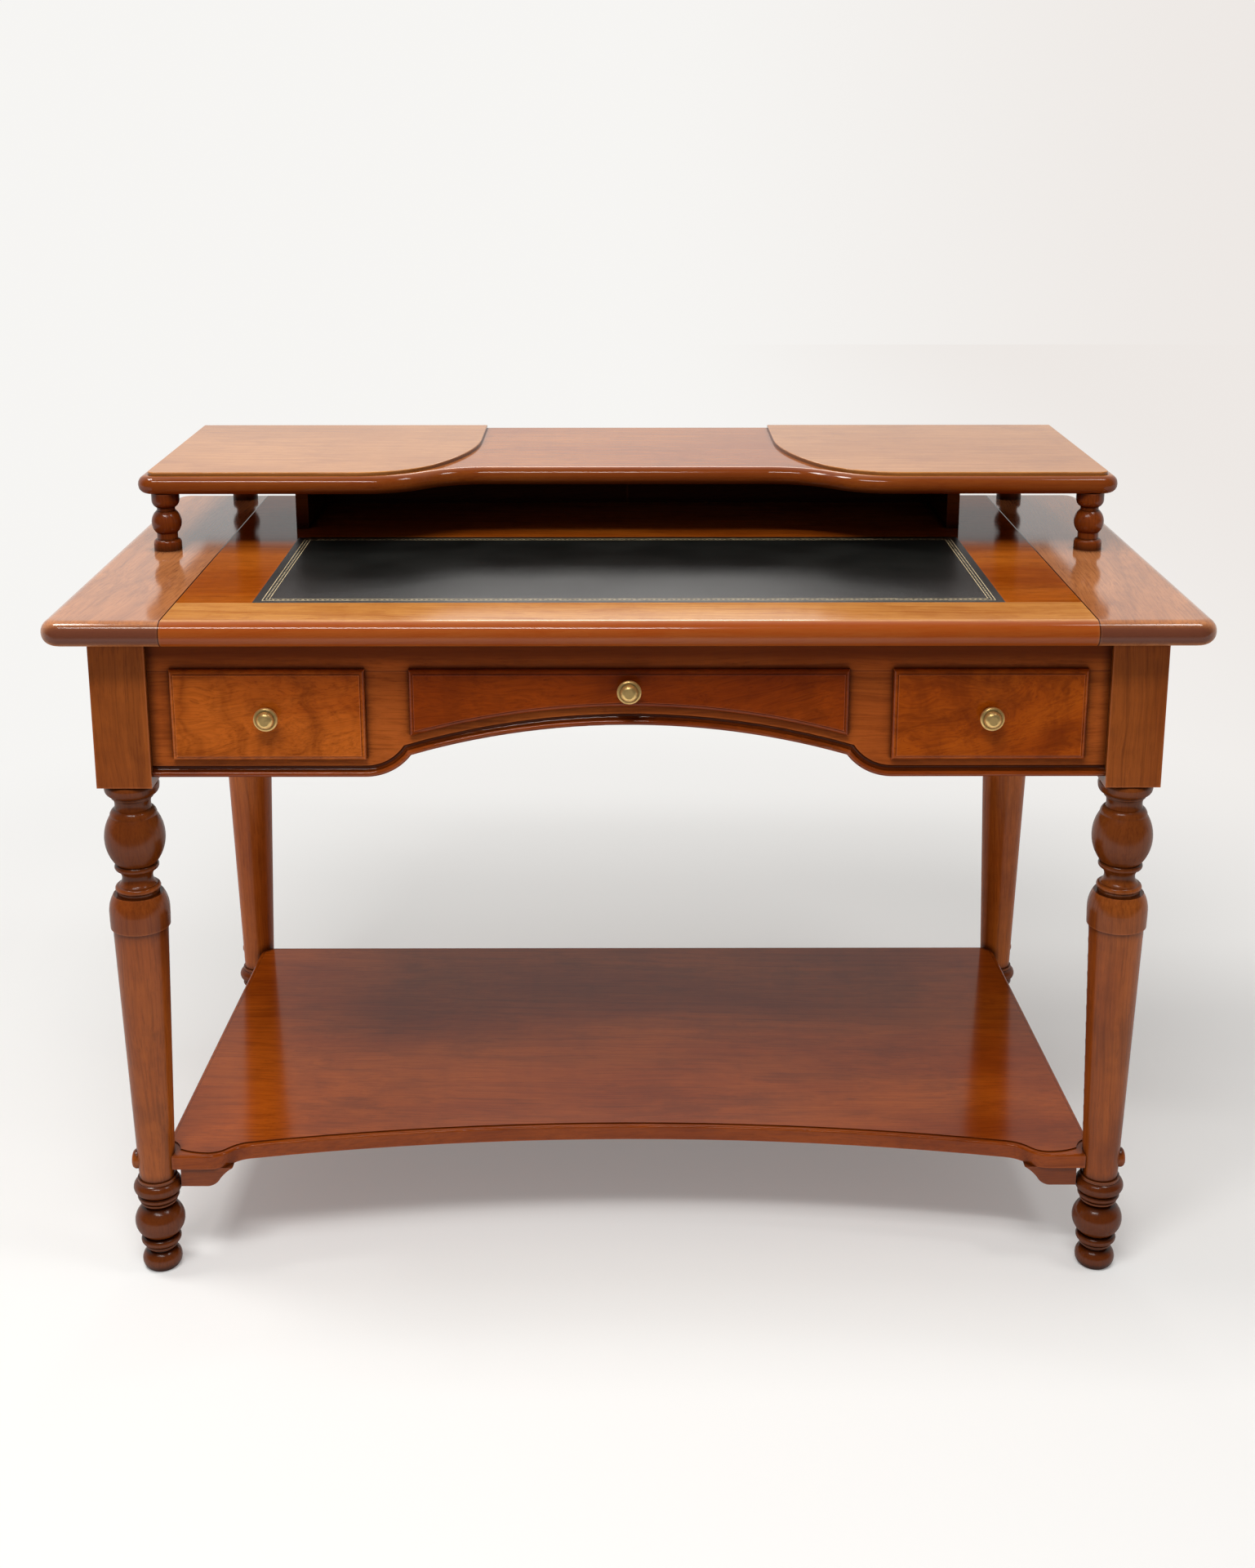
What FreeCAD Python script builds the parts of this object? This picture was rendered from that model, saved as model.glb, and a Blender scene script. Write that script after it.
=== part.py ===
import FreeCAD, Part
import math
import os

# Bonheur du jour: a lady's writing desk on four turned legs, with three drawers in an arched
# apron, a raised gallery at the back and a shelf near the floor.
# Millimetres. X runs to the right, Y runs to the back and Z runs up.
# The origin is on the floor, under the middle of the top.

# Writing top
top_width = 1195.0
top_depth = 650.0
top_height = 770.0
top_thickness = 27.0
top_corner_radius = 22.0
end_board_width = 123.0
top_front_rail_width = 82.0
top_stile_width = 80.5
writing_depth = 308.0
leather_thickness = 1.8
seam_groove_width = 1.4
nose_flat = 1.0

# Legs
leg_end_setback = 69.5
leg_front_setback = 66.0
rear_leg_inset = 17.0
rear_leg_setback = 43.0
leg_block_side = 58.0
leg_block_drop = 10.0

# Turned leg, from the floor up
bun_height = 22.5
bun_radius = 21.9
foot_pad_radius = 17.0
bun_neck_radius = 14.0
bun_neck_height = 2.5
ankle_fillet_height = 5.0
ankle_fillet_radius = 18.2
ankle_seat_radius = 16.5
ankle_ring_height = 9.0
ankle_ring_radius = 22.2
foot_ball_height = 39.0
foot_ball_radius = 27.6
foot_ball_neck_radius = 15.0
foot_fillet_height = 2.5
foot_ring_height = 4.5
foot_ring_radius = 20.6
foot_ring_seat_radius = 18.6
foot_bead_height = 7.6
foot_bead_radius = 23.1
foot_torus_height = 16.4
foot_torus_radius = 26.8
foot_torus_seat_radius = 20.6
foot_cup_height = 3.2
foot_cup_radius = 21.8
taper_foot_radius = 19.7
taper_head_radius = 29.4
collar_step = 2.3
collar_height = 19.0
collar_radius = 32.1
shoulder_height = 19.0
shoulder_neck_radius = 26.7
waist_ring_height = 3.6
waist_ring_radius = 22.5
waist_bead_height = 6.7
waist_bead_radius = 24.1
waist_neck_height = 17.0
waist_neck_radius = 16.3
waist_edge_radius = 20.4
ball_seat_height = 7.2
ball_seat_radius = 23.5
ball_height = 54.5
ball_radius = 32.0
ball_foot_radius = 21.5
ball_head_radius = 25.0
crown_ring_height = 8.5
crown_ring_radius = 23.9
crown_neck_height = 9.4
crown_neck_radius = 18.9
crown_edge_radius = 19.7
crown_fillet_height = 2.5
crown_ledge_height = 2.4
crown_ledge_radius = 22.0
crown_flare_height = 8.4
crown_bead_height = 8.0
crown_bead_radius = 28.8
crown_top_radius = 26.2

# Apron
apron_thickness = 20.0
apron_setback = 9.0
apron_depth = 152.0
top_rail_height = 37.0
tenon_length = 20.0
tenon_thickness = 8.0
tenon_shoulder = 8.0
joint_clearance = 0.2
bead_height = 6.2
bead_projection = 4.0
bead_round = 3.0
cove_height = 5.8
cove_depth = 3.0
cove_lip = 0.8
bead_curve_turn = 75.0
arch_bead_turn = 19.0
bracket_curve_radius = 60.0
bracket_curve_run = 48.0
cusp_inset = 0.5
arch_rise = 33.0

# Drawers
side_front_setback = 22.75
side_front_width = 202.5
side_front_margin = 8.0
drawer_gap = 45.25
centre_front_margin = 21.0
lip_overlap = 3.0
lip_thickness = 7.0
field_thickness = 1.0
field_inset = 5.0
lip_round = 4.0
front_core_thickness = 12.0
front_core_clearance = 1.0
drawer_side_clearance = 1.5
drawer_top_clearance = 2.0
drawer_rest_gap = 0.3
drawer_side_thickness = 10.0
drawer_length = 430.0
drawer_bottom_thickness = 4.0
drawer_bottom_rise = 6.0
groove_depth = 5.0
groove_clearance = 0.15
drawer_back_drop = 6.0

# Drawer supports
runner_depth = 12.0
runner_ledge_width = 15.0
guide_height = 26.0
guide_clearance = 0.6
outer_guide_width = 18.0
divider_web_thickness = 20.0
kicker_width = 30.0
kicker_gap = 1.0
top_screw_radius = 2.5
top_screw_head_radius = 5.0
top_screw_head_height = 3.0
top_screw_countersink = 8.0
top_screw_bite = 14.0
top_screw_spread = 200.0
screw_clearance = 0.2

# Knobs
knob_base_radius = 9.0
knob_base_thickness = 2.4
knob_neck_radius = 4.8
knob_neck_length = 7.0
knob_head_radius = 12.8
knob_head_thickness = 4.6
knob_dome_radius = 9.4
knob_dome_height = 6.0
knob_stud_radius = 2.0
knob_stud_length = 15.0
knob_flare = 1.0

# Gallery
gallery_end_setback = 30.5
gallery_front_setback = 309.0
gallery_shelf_thickness = 21.0
gallery_clear_height = 67.5
gallery_corner_radius = 20.0
recess_depth = 58.0
recess_curve_offset = 235.0
recess_curve_angle = 45.0
tablet_thickness = 4.0
tablet_margin = 1.0
tablet_corner_radius = 12.0
tablet_edge_round = 1.2
tablet_inner_offset = 184.0
tablet_front_radius = 106.0
tablet_front_angle = 62.0
tablet_side_radius = 350.0
compartment_end_setback = 177.0
compartment_side_thickness = 15.0
compartment_front_setback = 131.0
compartment_depth = 158.0
compartment_back_thickness = 12.0

# Balusters
front_baluster_inset = 30.0
front_baluster_setback = 21.0
rear_baluster_inset = 65.0
rear_baluster_setback = 25.0
baluster_base_radius = 16.0
baluster_base_height = 8.5
baluster_shoulder_height = 4.5
baluster_neck_radius = 12.0
baluster_neck_height = 7.0
baluster_ball_radius = 17.2
baluster_ball_height = 26.0
baluster_upper_neck_radius = 10.4
baluster_upper_neck_height = 4.0
baluster_quirk = 1.0
baluster_cap_flare_height = 9.0
baluster_pin_radius = 5.0
baluster_pin_length = 10.0
baluster_pin_clearance = 0.1

# Lower shelf
shelf_thickness = 18.0
shelf_top_height = 141.5
shelf_side_inset = 8.0
shelf_back_step = 7.0
shelf_ear_overhang = 9.0
shelf_ear_length = 58.0
shelf_curve_radius = 33.0
shelf_curve_turn = 50.0
shelf_sweep_radius = 2250.0
shelf_notch_clearance = 0.2
shelf_field_step = 1.4
shelf_field_margin = 6.0
shelf_field_ear_round = 66.0
shelf_edge_round = 2.6
shelf_bracket_height = 22.5
shelf_bracket_thickness = 20.0
shelf_bracket_length = 58.0
shelf_bracket_foot_length = 27.0
shelf_bracket_turn_height = 7.5
shelf_bracket_lower_bow = 2.3
shelf_bracket_upper_bow = 1.3
shelf_bracket_setback = 3.0
shelf_bracket_gap = 0.8
shelf_bolt_radius = 3.5
shelf_bolt_head_radius = 7.5
shelf_bolt_head_height = 5.0
shelf_bolt_bite = 34.0
bolt_head_gap = 1.0
rear_bolt_turn = 45.0
button_radius = 11.0
button_seat_depth = 4.0
button_rim = 5.0
button_dome_height = 3.5
button_crown_radius = 3.6
button_clearance = 0.2

# How edges are picked for rounding
places_per_edge = 5
same_place = 0.01

# Worked-out places
top_underside = top_height - top_thickness
half_top_width = top_width / 2
half_top_depth = top_depth / 2
seam_x = half_top_width - end_board_width
half_writing_width = seam_x - top_stile_width
writing_front_y = top_front_rail_width - half_top_depth
writing_back_y = writing_front_y + writing_depth
leg_x = half_top_width - leg_end_setback
leg_y = half_top_depth - leg_front_setback
rear_leg_x = leg_x - rear_leg_inset
rear_leg_y = half_top_depth - rear_leg_setback
block_half = leg_block_side / 2
apron_floor_height = top_underside - apron_depth
block_bottom = apron_floor_height - leg_block_drop
block_inner_x = leg_x - block_half
block_inner_y = leg_y - block_half
rear_block_inner_x = rear_leg_x - block_half
rear_block_front_y = rear_leg_y - block_half
apron_front_y = apron_setback - leg_y - block_half
apron_inner_y = apron_front_y + apron_thickness
side_apron_x = leg_x + block_half - apron_setback
rear_apron_back_y = rear_leg_y + block_half - apron_setback
rear_apron_inner_y = rear_apron_back_y - apron_thickness
top_rail_bottom = top_underside - top_rail_height
opening_top = top_rail_bottom
front_top = opening_top + lip_overlap
moulding_height = bead_height + cove_height
board_bottom = apron_floor_height + moulding_height
side_front_bottom = board_bottom + side_front_margin
side_opening_bottom = side_front_bottom + lip_overlap
lip_back_y = apron_front_y - drawer_rest_gap
core_back_y = lip_back_y + front_core_thickness
field_front_y = lip_back_y - lip_thickness - field_thickness
box_top = opening_top - drawer_top_clearance
side_drawer_offset = block_inner_x - side_front_setback - side_front_width / 2
centre_half_width = side_drawer_offset - side_front_width / 2 - drawer_gap
cusp_half_width = centre_half_width - cusp_inset
half_gallery_width = half_top_width - gallery_end_setback
compartment_half_width = half_gallery_width - compartment_end_setback
gallery_front_y = gallery_front_setback - half_top_depth
gallery_back_y = half_top_depth
gallery_underside = top_height + gallery_clear_height
gallery_top = gallery_underside + gallery_shelf_thickness
gallery_nose = (gallery_shelf_thickness - nose_flat) / 2
shelf_underside = shelf_top_height - shelf_thickness
bolt_z = shelf_top_height - shelf_thickness / 2
bracket_centre_z = apron_floor_height + bracket_curve_radius
bracket_start_x = cusp_half_width + bracket_curve_run


def vec(x, y, z):
    return FreeCAD.Vector(x, y, z)


def box(x0, x1, y0, y1, z0, z1):
    """A block between two corners."""
    return Part.makeBox(x1 - x0, y1 - y0, z1 - z0, vec(x0, y0, z0))


def rod(radius, start, end):
    """A round bar from one point to another."""
    run = end - start
    return Part.makeCylinder(radius, run.Length, start, run)


def mirror_x(shape):
    """The same shape on the other side of the desk's middle plane."""
    return shape.mirror(vec(0, 0, 0), vec(1, 0, 0))


def mirrored_point(point):
    return vec(-point.x, point.y, point.z)


def line(a, b):
    return Part.makeLine(a, b)


def arc(a, middle, b):
    return Part.Arc(a, middle, b).toShape()


def bowed(a, b, bow):
    """An arc across the Y axis that stands off the middle of its chord, to the left when positive."""
    run = b - a
    off = vec(-run.z, 0, run.x)
    off.normalize()
    return arc(a, a + run * 0.5 + off * bow, b)


def face_of(edges):
    """A flat face inside a closed run of edges."""
    return Part.Face(Part.Wire(Part.__sortEdges__(edges)))


def symmetric_face(half_edges):
    """A flat face from the edges of its left half, mirrored to the right."""
    return face_of(half_edges + [mirror_x(edge) for edge in half_edges])


def edges_at(shape, test):
    """The shape's edges for which the test holds all along."""
    chosen = []
    for edge in shape.Edges:
        if all(test(point) for point in edge.discretize(places_per_edge)):
            chosen.append(edge)
    return chosen


def near(a, b):
    return abs(a - b) < same_place


def save(name, shape):
    shape.exportStep("parts/" + name + ".step")


# ---------------------------------------------------------------- turned work

class Turning:
    """Half of a turned outline, drawn upwards from the middle of its foot."""

    def __init__(self, radius):
        self.start = vec(0, 0, 0)
        self.at = vec(radius, 0, 0)
        self.edges = [line(self.start, self.at)]

    def step(self, radius):
        """A flat shoulder, in or out to a new radius."""
        target = vec(radius, 0, self.at.z)
        if not near(target.x, self.at.x):
            self.edges.append(line(self.at, target))
        self.at = target

    def straight(self, height, radius):
        """A cylinder, or a taper that ends at a new radius."""
        target = vec(radius, 0, self.at.z + height)
        self.edges.append(line(self.at, target))
        self.at = target

    def curve(self, height, middle_radius, end_radius):
        """A bead or a hollow: an arc whose widest or thinnest place is half way up."""
        middle = vec(middle_radius, 0, self.at.z + height / 2)
        target = vec(end_radius, 0, self.at.z + height)
        self.edges.append(arc(self.at, middle, target))
        self.at = target

    def quarter(self, height, end_radius, upright_first):
        """A round shoulder that stands upright at one end."""
        target = vec(end_radius, 0, self.at.z + height)
        upright, other = (self.at, target) if upright_first else (target, self.at)
        inset = upright.x - other.x
        radius = (height * height + inset * inset) / (2 * inset)
        turn = math.asin(height / abs(radius)) / 2
        rise = math.copysign(abs(radius) * math.sin(turn), other.z - upright.z)
        middle = vec(upright.x - radius * (1 - math.cos(turn)), 0, upright.z + rise)
        self.edges.append(arc(self.at, middle, target))
        self.at = target

    def solid(self, centre):
        """The outline closed on its own axis and spun once round it."""
        crown = vec(0, 0, self.at.z)
        edges = self.edges + [line(self.at, crown), line(crown, self.start)]
        turned = face_of(edges).revolve(vec(0, 0, 0), vec(0, 0, 1), 360)
        turned.translate(centre)
        return turned


def taper_radius(height):
    """The leg's radius on its long taper, at a height above the floor."""
    share = (height - taper_start) / taper_height
    return taper_foot_radius + share * (taper_head_radius - taper_foot_radius)


taper_start = (bun_height + bun_neck_height + ankle_fillet_height + ankle_ring_height
               + foot_ball_height + foot_fillet_height + foot_ring_height + foot_bead_height
               + foot_torus_height + foot_cup_height)
above_taper = (collar_height + shoulder_height + waist_ring_height + waist_bead_height
               + waist_neck_height + ball_seat_height + ball_height + crown_ring_height
               + crown_neck_height + crown_fillet_height + crown_ledge_height
               + crown_flare_height + crown_bead_height)
taper_height = block_bottom - taper_start - above_taper
shelf_notch_radius = taper_radius(shelf_top_height) + shelf_notch_clearance


def leg_turning():
    """The turned leg: bun, ball, torus, long taper, collar, waist and ball under the block."""
    leg = Turning(foot_pad_radius)
    leg.curve(bun_height, bun_radius, bun_neck_radius)
    leg.straight(bun_neck_height, bun_neck_radius)
    leg.step(ankle_seat_radius)
    leg.curve(ankle_fillet_height, ankle_fillet_radius, ankle_seat_radius)
    leg.curve(ankle_ring_height, ankle_ring_radius, foot_ball_neck_radius)
    leg.curve(foot_ball_height, foot_ball_radius, foot_ball_neck_radius)
    leg.straight(foot_fillet_height, foot_ball_neck_radius)
    leg.step(foot_ring_seat_radius)
    leg.curve(foot_ring_height, foot_ring_radius, foot_ring_seat_radius)
    leg.curve(foot_bead_height, foot_bead_radius, foot_torus_seat_radius)
    leg.curve(foot_torus_height, foot_torus_radius, foot_torus_seat_radius)
    leg.step(foot_cup_radius)
    leg.straight(foot_cup_height, foot_cup_radius)
    leg.step(taper_foot_radius)
    leg.straight(taper_height, taper_head_radius)
    leg.step(taper_head_radius + collar_step)
    leg.quarter(collar_height, collar_radius, False)
    leg.quarter(shoulder_height, shoulder_neck_radius, True)
    leg.step(waist_ring_radius)
    leg.straight(waist_ring_height, waist_ring_radius)
    leg.curve(waist_bead_height, waist_bead_radius, waist_edge_radius)
    leg.curve(waist_neck_height, waist_neck_radius, waist_edge_radius)
    leg.curve(ball_seat_height, ball_seat_radius, ball_foot_radius)
    leg.curve(ball_height, ball_radius, ball_head_radius)
    leg.curve(crown_ring_height, crown_ring_radius, crown_edge_radius)
    leg.curve(crown_neck_height, crown_neck_radius, crown_edge_radius)
    leg.straight(crown_fillet_height, crown_edge_radius)
    leg.step(crown_ledge_radius)
    leg.straight(crown_ledge_height, crown_ledge_radius)
    leg.quarter(crown_flare_height, crown_bead_radius, False)
    leg.curve(crown_bead_height, crown_bead_radius, crown_top_radius)
    return leg


# ---------------------------------------------------------------- apron outline

def apron_point(x, z):
    """A point of the apron's outline, on the apron's front face."""
    return vec(x, apron_front_y, z)


def arch_radius():
    return (cusp_half_width ** 2 + arch_rise ** 2) / (2 * arch_rise)


def cusp_height():
    """Height of the cusp where the bracket curve meets the arch."""
    rise = math.sqrt(bracket_curve_radius ** 2 - bracket_curve_run ** 2)
    return bracket_centre_z - rise


def arch_centre_z():
    return cusp_height() + arch_rise - arch_radius()


def cusp_at(offset):
    """The cusp of the outline that runs inside the apron's edge at this distance."""
    small = bracket_curve_radius - offset
    large = arch_radius() + offset
    span = math.hypot(bracket_start_x, bracket_centre_z - arch_centre_z())
    along = (small * small - large * large + span * span) / (2 * span)
    across = math.sqrt(small * small - along * along)
    ux = bracket_start_x / span
    uz = (arch_centre_z() - bracket_centre_z) / span
    return apron_point(-bracket_start_x + along * ux - across * uz,
                       bracket_centre_z + along * uz + across * ux)


def bracket_edge(offset):
    """The round stretch between the flat and the cusp."""
    radius = bracket_curve_radius - offset
    cusp = cusp_at(offset)
    turn = math.asin((cusp.x + bracket_start_x) / radius) / 2
    middle = apron_point(-bracket_start_x + radius * math.sin(turn),
                         bracket_centre_z - radius * math.cos(turn))
    start = apron_point(-bracket_start_x, apron_floor_height + offset)
    return arc(start, middle, cusp)


def arch_apex(offset):
    return apron_point(0, cusp_height() + arch_rise + offset)


def arch_edge(offset):
    """The whole arch, from the left cusp to the right one."""
    cusp = cusp_at(offset)
    return arc(cusp, arch_apex(offset), apron_point(-cusp.x, cusp.z))


def arch_z(x, offset):
    """Height of the arch at a distance from the middle."""
    radius = arch_radius() + offset
    return arch_centre_z() + math.sqrt(radius * radius - x * x)


def flat_edge(offset):
    """The straight stretch from the leg to the bracket curve."""
    return line(apron_point(-block_inner_x, apron_floor_height + offset),
                apron_point(-bracket_start_x, apron_floor_height + offset))


def arched_face(half_width, top, offset):
    """A face with upright sides, a flat top and the arch as its lower edge."""
    low = arch_z(half_width, offset)
    corners = [apron_point(-half_width, low), apron_point(-half_width, top),
               apron_point(half_width, top), apron_point(half_width, low)]
    edges = [line(corners[0], corners[1]), line(corners[1], corners[2]), line(corners[2], corners[3])]
    edges.append(arc(corners[0], arch_apex(offset), corners[3]))
    return face_of(edges)


# ---------------------------------------------------------------- legs

def mortise(shape):
    """The hole that takes a tenon, a little larger than the tenon."""
    bounds = shape.BoundBox
    c = joint_clearance
    return box(bounds.XMin - c, bounds.XMax + c, bounds.YMin - c, bounds.YMax + c,
               bounds.ZMin - c, bounds.ZMax + c)


def front_tenon(z0, z1):
    """Tenon at the left end of a front rail."""
    middle = (apron_front_y + apron_inner_y) / 2
    half = tenon_thickness / 2
    return box(-block_inner_x - tenon_length, -block_inner_x, middle - half, middle + half,
               z0 + tenon_shoulder, z1 - tenon_shoulder)


def rear_tenon():
    """Tenon at the left end of the rear apron."""
    middle = (rear_apron_inner_y + rear_apron_back_y) / 2
    half = tenon_thickness / 2
    return box(-rear_block_inner_x - tenon_length, -rear_block_inner_x, middle - half, middle + half,
               apron_floor_height + tenon_shoulder, top_underside - tenon_shoulder)


def side_tenon(outer_x, y0, y1):
    """Tenon at one end of the left side apron, where the apron's outer face is at outer_x."""
    middle = outer_x + apron_thickness / 2
    half = tenon_thickness / 2
    return box(middle - half, middle + half, y0, y1,
               board_bottom + tenon_shoulder, top_underside - tenon_shoulder)


def side_tenons():
    """The front and the rear tenon of the left side apron."""
    front = side_tenon(-side_apron_x, -block_inner_y - tenon_length, -block_inner_y)
    rear = side_tenon(rear_leg_inset - side_apron_x, rear_block_front_y, rear_block_front_y + tenon_length)
    return front, rear


def button_seat_x():
    """Distance from the leg's axis to the flat that a bolt button sits on."""
    return taper_radius(bolt_z) - button_seat_depth


def leg_bores():
    """Bolt hole, head recess and button seat of the front left leg."""
    seat = -leg_x - button_seat_x()
    head_floor = seat + bolt_head_gap + shelf_bolt_head_height
    outside = seat - button_rim - button_dome_height
    inside = -leg_x + taper_head_radius
    centre_y = -leg_y
    c = button_clearance
    bores = rod(button_radius + c, vec(outside, centre_y, bolt_z), vec(seat, centre_y, bolt_z))
    recess = rod(shelf_bolt_head_radius + c, vec(seat, centre_y, bolt_z),
                 vec(head_floor, centre_y, bolt_z))
    hole = rod(shelf_bolt_radius + screw_clearance, vec(head_floor, centre_y, bolt_z),
               vec(inside, centre_y, bolt_z))
    return bores.fuse(recess).fuse(hole)


def at_rear_leg(shape):
    """A shape of the front left leg moved to the rear one and turned to face the shelf's corner."""
    copy = shape.copy()
    copy.rotate(vec(-leg_x, -leg_y, 0), vec(0, 0, 1), -rear_bolt_turn)
    copy.translate(vec(leg_x - rear_leg_x, leg_y + rear_leg_y, 0))
    return copy


def front_left_leg():
    leg = leg_turning().solid(vec(-leg_x, -leg_y, 0))
    block = box(-leg_x - block_half, -leg_x + block_half, -leg_y - block_half,
                -leg_y + block_half, block_bottom, top_underside)
    leg = leg.fuse(block)
    cuts = [mortise(front_tenon(board_bottom, top_rail_bottom)),
            mortise(front_tenon(top_rail_bottom, top_underside)),
            mortise(side_tenons()[0]), leg_bores()]
    for cut in cuts:
        leg = leg.cut(cut)
    return leg.removeSplitter()


def rear_left_leg():
    """The rear leg has one long mortise, and its bolt points at the shelf's corner."""
    leg = leg_turning().solid(vec(-rear_leg_x, rear_leg_y, 0))
    block = box(-rear_leg_x - block_half, -rear_leg_x + block_half, rear_leg_y - block_half,
                rear_leg_y + block_half, block_bottom, top_underside)
    leg = leg.fuse(block)
    for cut in [mortise(rear_tenon()), mortise(side_tenons()[1]), at_rear_leg(leg_bores())]:
        leg = leg.cut(cut)
    return leg.removeSplitter()


def make_legs():
    front = front_left_leg()
    rear = rear_left_leg()
    save("front_left_leg", front)
    save("front_right_leg", mirror_x(front))
    save("rear_left_leg", rear)
    save("rear_right_leg", mirror_x(rear))


# ---------------------------------------------------------------- apron frame

def apron_outline_face(offset):
    """The whole front from leg to leg, above the outline at this distance from the edge."""
    top = top_rail_bottom
    left = flat_edge(offset)
    corner = apron_point(-block_inner_x, top)
    edges = [line(corner, left.Vertexes[0].Point), left, bracket_edge(offset)]
    edges += [mirror_x(edge) for edge in edges]
    edges += [arch_edge(offset), line(corner, apron_point(block_inner_x, top))]
    return face_of(edges)


def apron_board():
    """The shaped board, cut with three drawer openings that the top rail closes."""
    deep = vec(0, apron_thickness, 0)
    board = apron_outline_face(moulding_height).extrude(deep)
    half_opening = side_front_width / 2 - lip_overlap
    for side in (-1, 1):
        middle = side * side_drawer_offset
        board = board.cut(box(middle - half_opening, middle + half_opening, apron_front_y,
                              apron_inner_y, side_opening_bottom, opening_top))
    centre = arched_face(centre_half_width - lip_overlap, opening_top,
                         centre_front_margin + lip_overlap)
    board = board.cut(centre.extrude(deep))
    tenon = front_tenon(board_bottom, top_rail_bottom)
    return board.fuse(tenon).fuse(mirror_x(tenon)).removeSplitter()


def bead_outline(place):
    """The bead and the cove above it in section, from the inner foot round the front to the top."""
    back_of_round = bead_round - bead_projection
    foot, heel = place(0, apron_thickness), place(0, back_of_round)
    nose = place(bead_height / 2, -bead_projection)
    brow = place(bead_height, back_of_round)
    cove_low, cove_high = place(bead_height, cove_lip), place(moulding_height, cove_lip)
    cove_floor = place(bead_height + cove_height / 2, cove_depth)
    return [line(foot, heel), arc(heel, nose, brow), line(brow, cove_low),
            arc(cove_low, cove_floor, cove_high)]


def bead_section(x, z):
    """The moulding in section at a place on the apron, as a face across the X axis."""
    def place(height, depth):
        return vec(x, apron_front_y + depth, z + height)

    inner_top = place(moulding_height, apron_thickness)
    closing = [line(place(moulding_height, cove_lip), inner_top),
               line(inner_top, place(0, apron_thickness))]
    return face_of(bead_outline(place) + closing)


def arch_zone():
    """The space between the two mitres, where the arch takes over from the side curves."""
    low, high = cusp_at(0), cusp_at(moulding_height)
    run = high - low
    low, high = low - run - run, high + run
    above = vec(high.x, 0, arch_apex(moulding_height).z + moulding_height)
    left = [low, high, above]
    for point in left:
        point.y = apron_front_y - apron_thickness
    corners = left + [mirrored_point(point) for point in reversed(left)]
    face = Part.Face(Part.makePolygon(corners + corners[:1]))
    return face.extrude(vec(0, 3 * apron_thickness, 0))


def left_bead():
    """A straight length from the leg, then a quarter turn up to the mitre."""
    flat = bead_section(-block_inner_x, apron_floor_height)
    flat = flat.extrude(vec(block_inner_x - bracket_start_x, 0, 0))
    curve = bead_section(-bracket_start_x, apron_floor_height)
    curve = curve.revolve(vec(-bracket_start_x, 0, bracket_centre_z), vec(0, -1, 0), bead_curve_turn)
    return flat.fuse(curve).cut(arch_zone()).removeSplitter()


def arch_bead():
    """The long arched length between the two mitres."""
    arch = bead_section(0, arch_apex(0).z)
    centre = vec(0, 0, arch_centre_z())
    arch.rotate(centre, vec(0, 1, 0), -arch_bead_turn)
    arch = arch.revolve(centre, vec(0, 1, 0), 2 * arch_bead_turn)
    return arch.common(arch_zone()).removeSplitter()


def side_apron():
    """The left side apron, with the same bead along its lower edge. It leans in towards the back,
    where the legs stand closer together."""
    def place(height, depth):
        return vec(depth - side_apron_x, -block_inner_y, apron_floor_height + height)

    top = top_underside - apron_floor_height
    points = [place(moulding_height, cove_lip), place(moulding_height, 0), place(top, 0),
              place(top, apron_thickness), place(0, apron_thickness)]
    edges = bead_outline(place) + [line(a, b) for a, b in zip(points, points[1:])]
    board = face_of(edges).extrude(vec(rear_leg_inset, block_inner_y + rear_block_front_y, 0))
    front, rear = side_tenons()
    return board.fuse(front).fuse(rear).removeSplitter()


def rear_apron():
    board = box(-rear_block_inner_x, rear_block_inner_x, rear_apron_inner_y, rear_apron_back_y,
                apron_floor_height, top_underside)
    tenon = rear_tenon()
    return board.fuse(tenon).fuse(mirror_x(tenon)).removeSplitter()


def front_top_rail():
    rail = box(-block_inner_x, block_inner_x, apron_front_y, apron_inner_y,
               top_rail_bottom, top_underside)
    tenon = front_tenon(top_rail_bottom, top_underside)
    return rail.fuse(tenon).fuse(mirror_x(tenon)).removeSplitter()


def side_box_edges():
    """Inner and outer face of the left drawer's box, as distances from the desk's middle."""
    half = side_front_width / 2 - lip_overlap - drawer_side_clearance
    return side_drawer_offset - half, side_drawer_offset + half


def centre_box_half():
    return centre_half_width - lip_overlap - drawer_side_clearance


def centre_opening_bottom():
    """The highest place of the arched opening's lower edge."""
    return arch_apex(centre_front_margin + lip_overlap).z


def profile_bar(points, back_y):
    """A bar of constant section that runs back from the front board."""
    edges = [line(a, b) for a, b in zip(points, points[1:] + points[:1])]
    return face_of(edges).extrude(vec(0, back_y - apron_inner_y, 0))


def section_point(x, z):
    return vec(x, apron_inner_y, z)


def outer_runner():
    """An L-shaped bar that ends at the rear leg: its ledge carries the drawer's outer side, and
    its guide stands beside it."""
    box_outer = -side_box_edges()[1]
    guide_face = box_outer - guide_clearance
    outer = guide_face - outer_guide_width
    ledge = box_outer + runner_ledge_width
    top = side_opening_bottom
    points = [section_point(outer, top - runner_depth), section_point(ledge, top - runner_depth),
              section_point(ledge, top), section_point(guide_face, top),
              section_point(guide_face, top + guide_height), section_point(outer, top + guide_height)]
    return profile_bar(points, rear_block_front_y)


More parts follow.
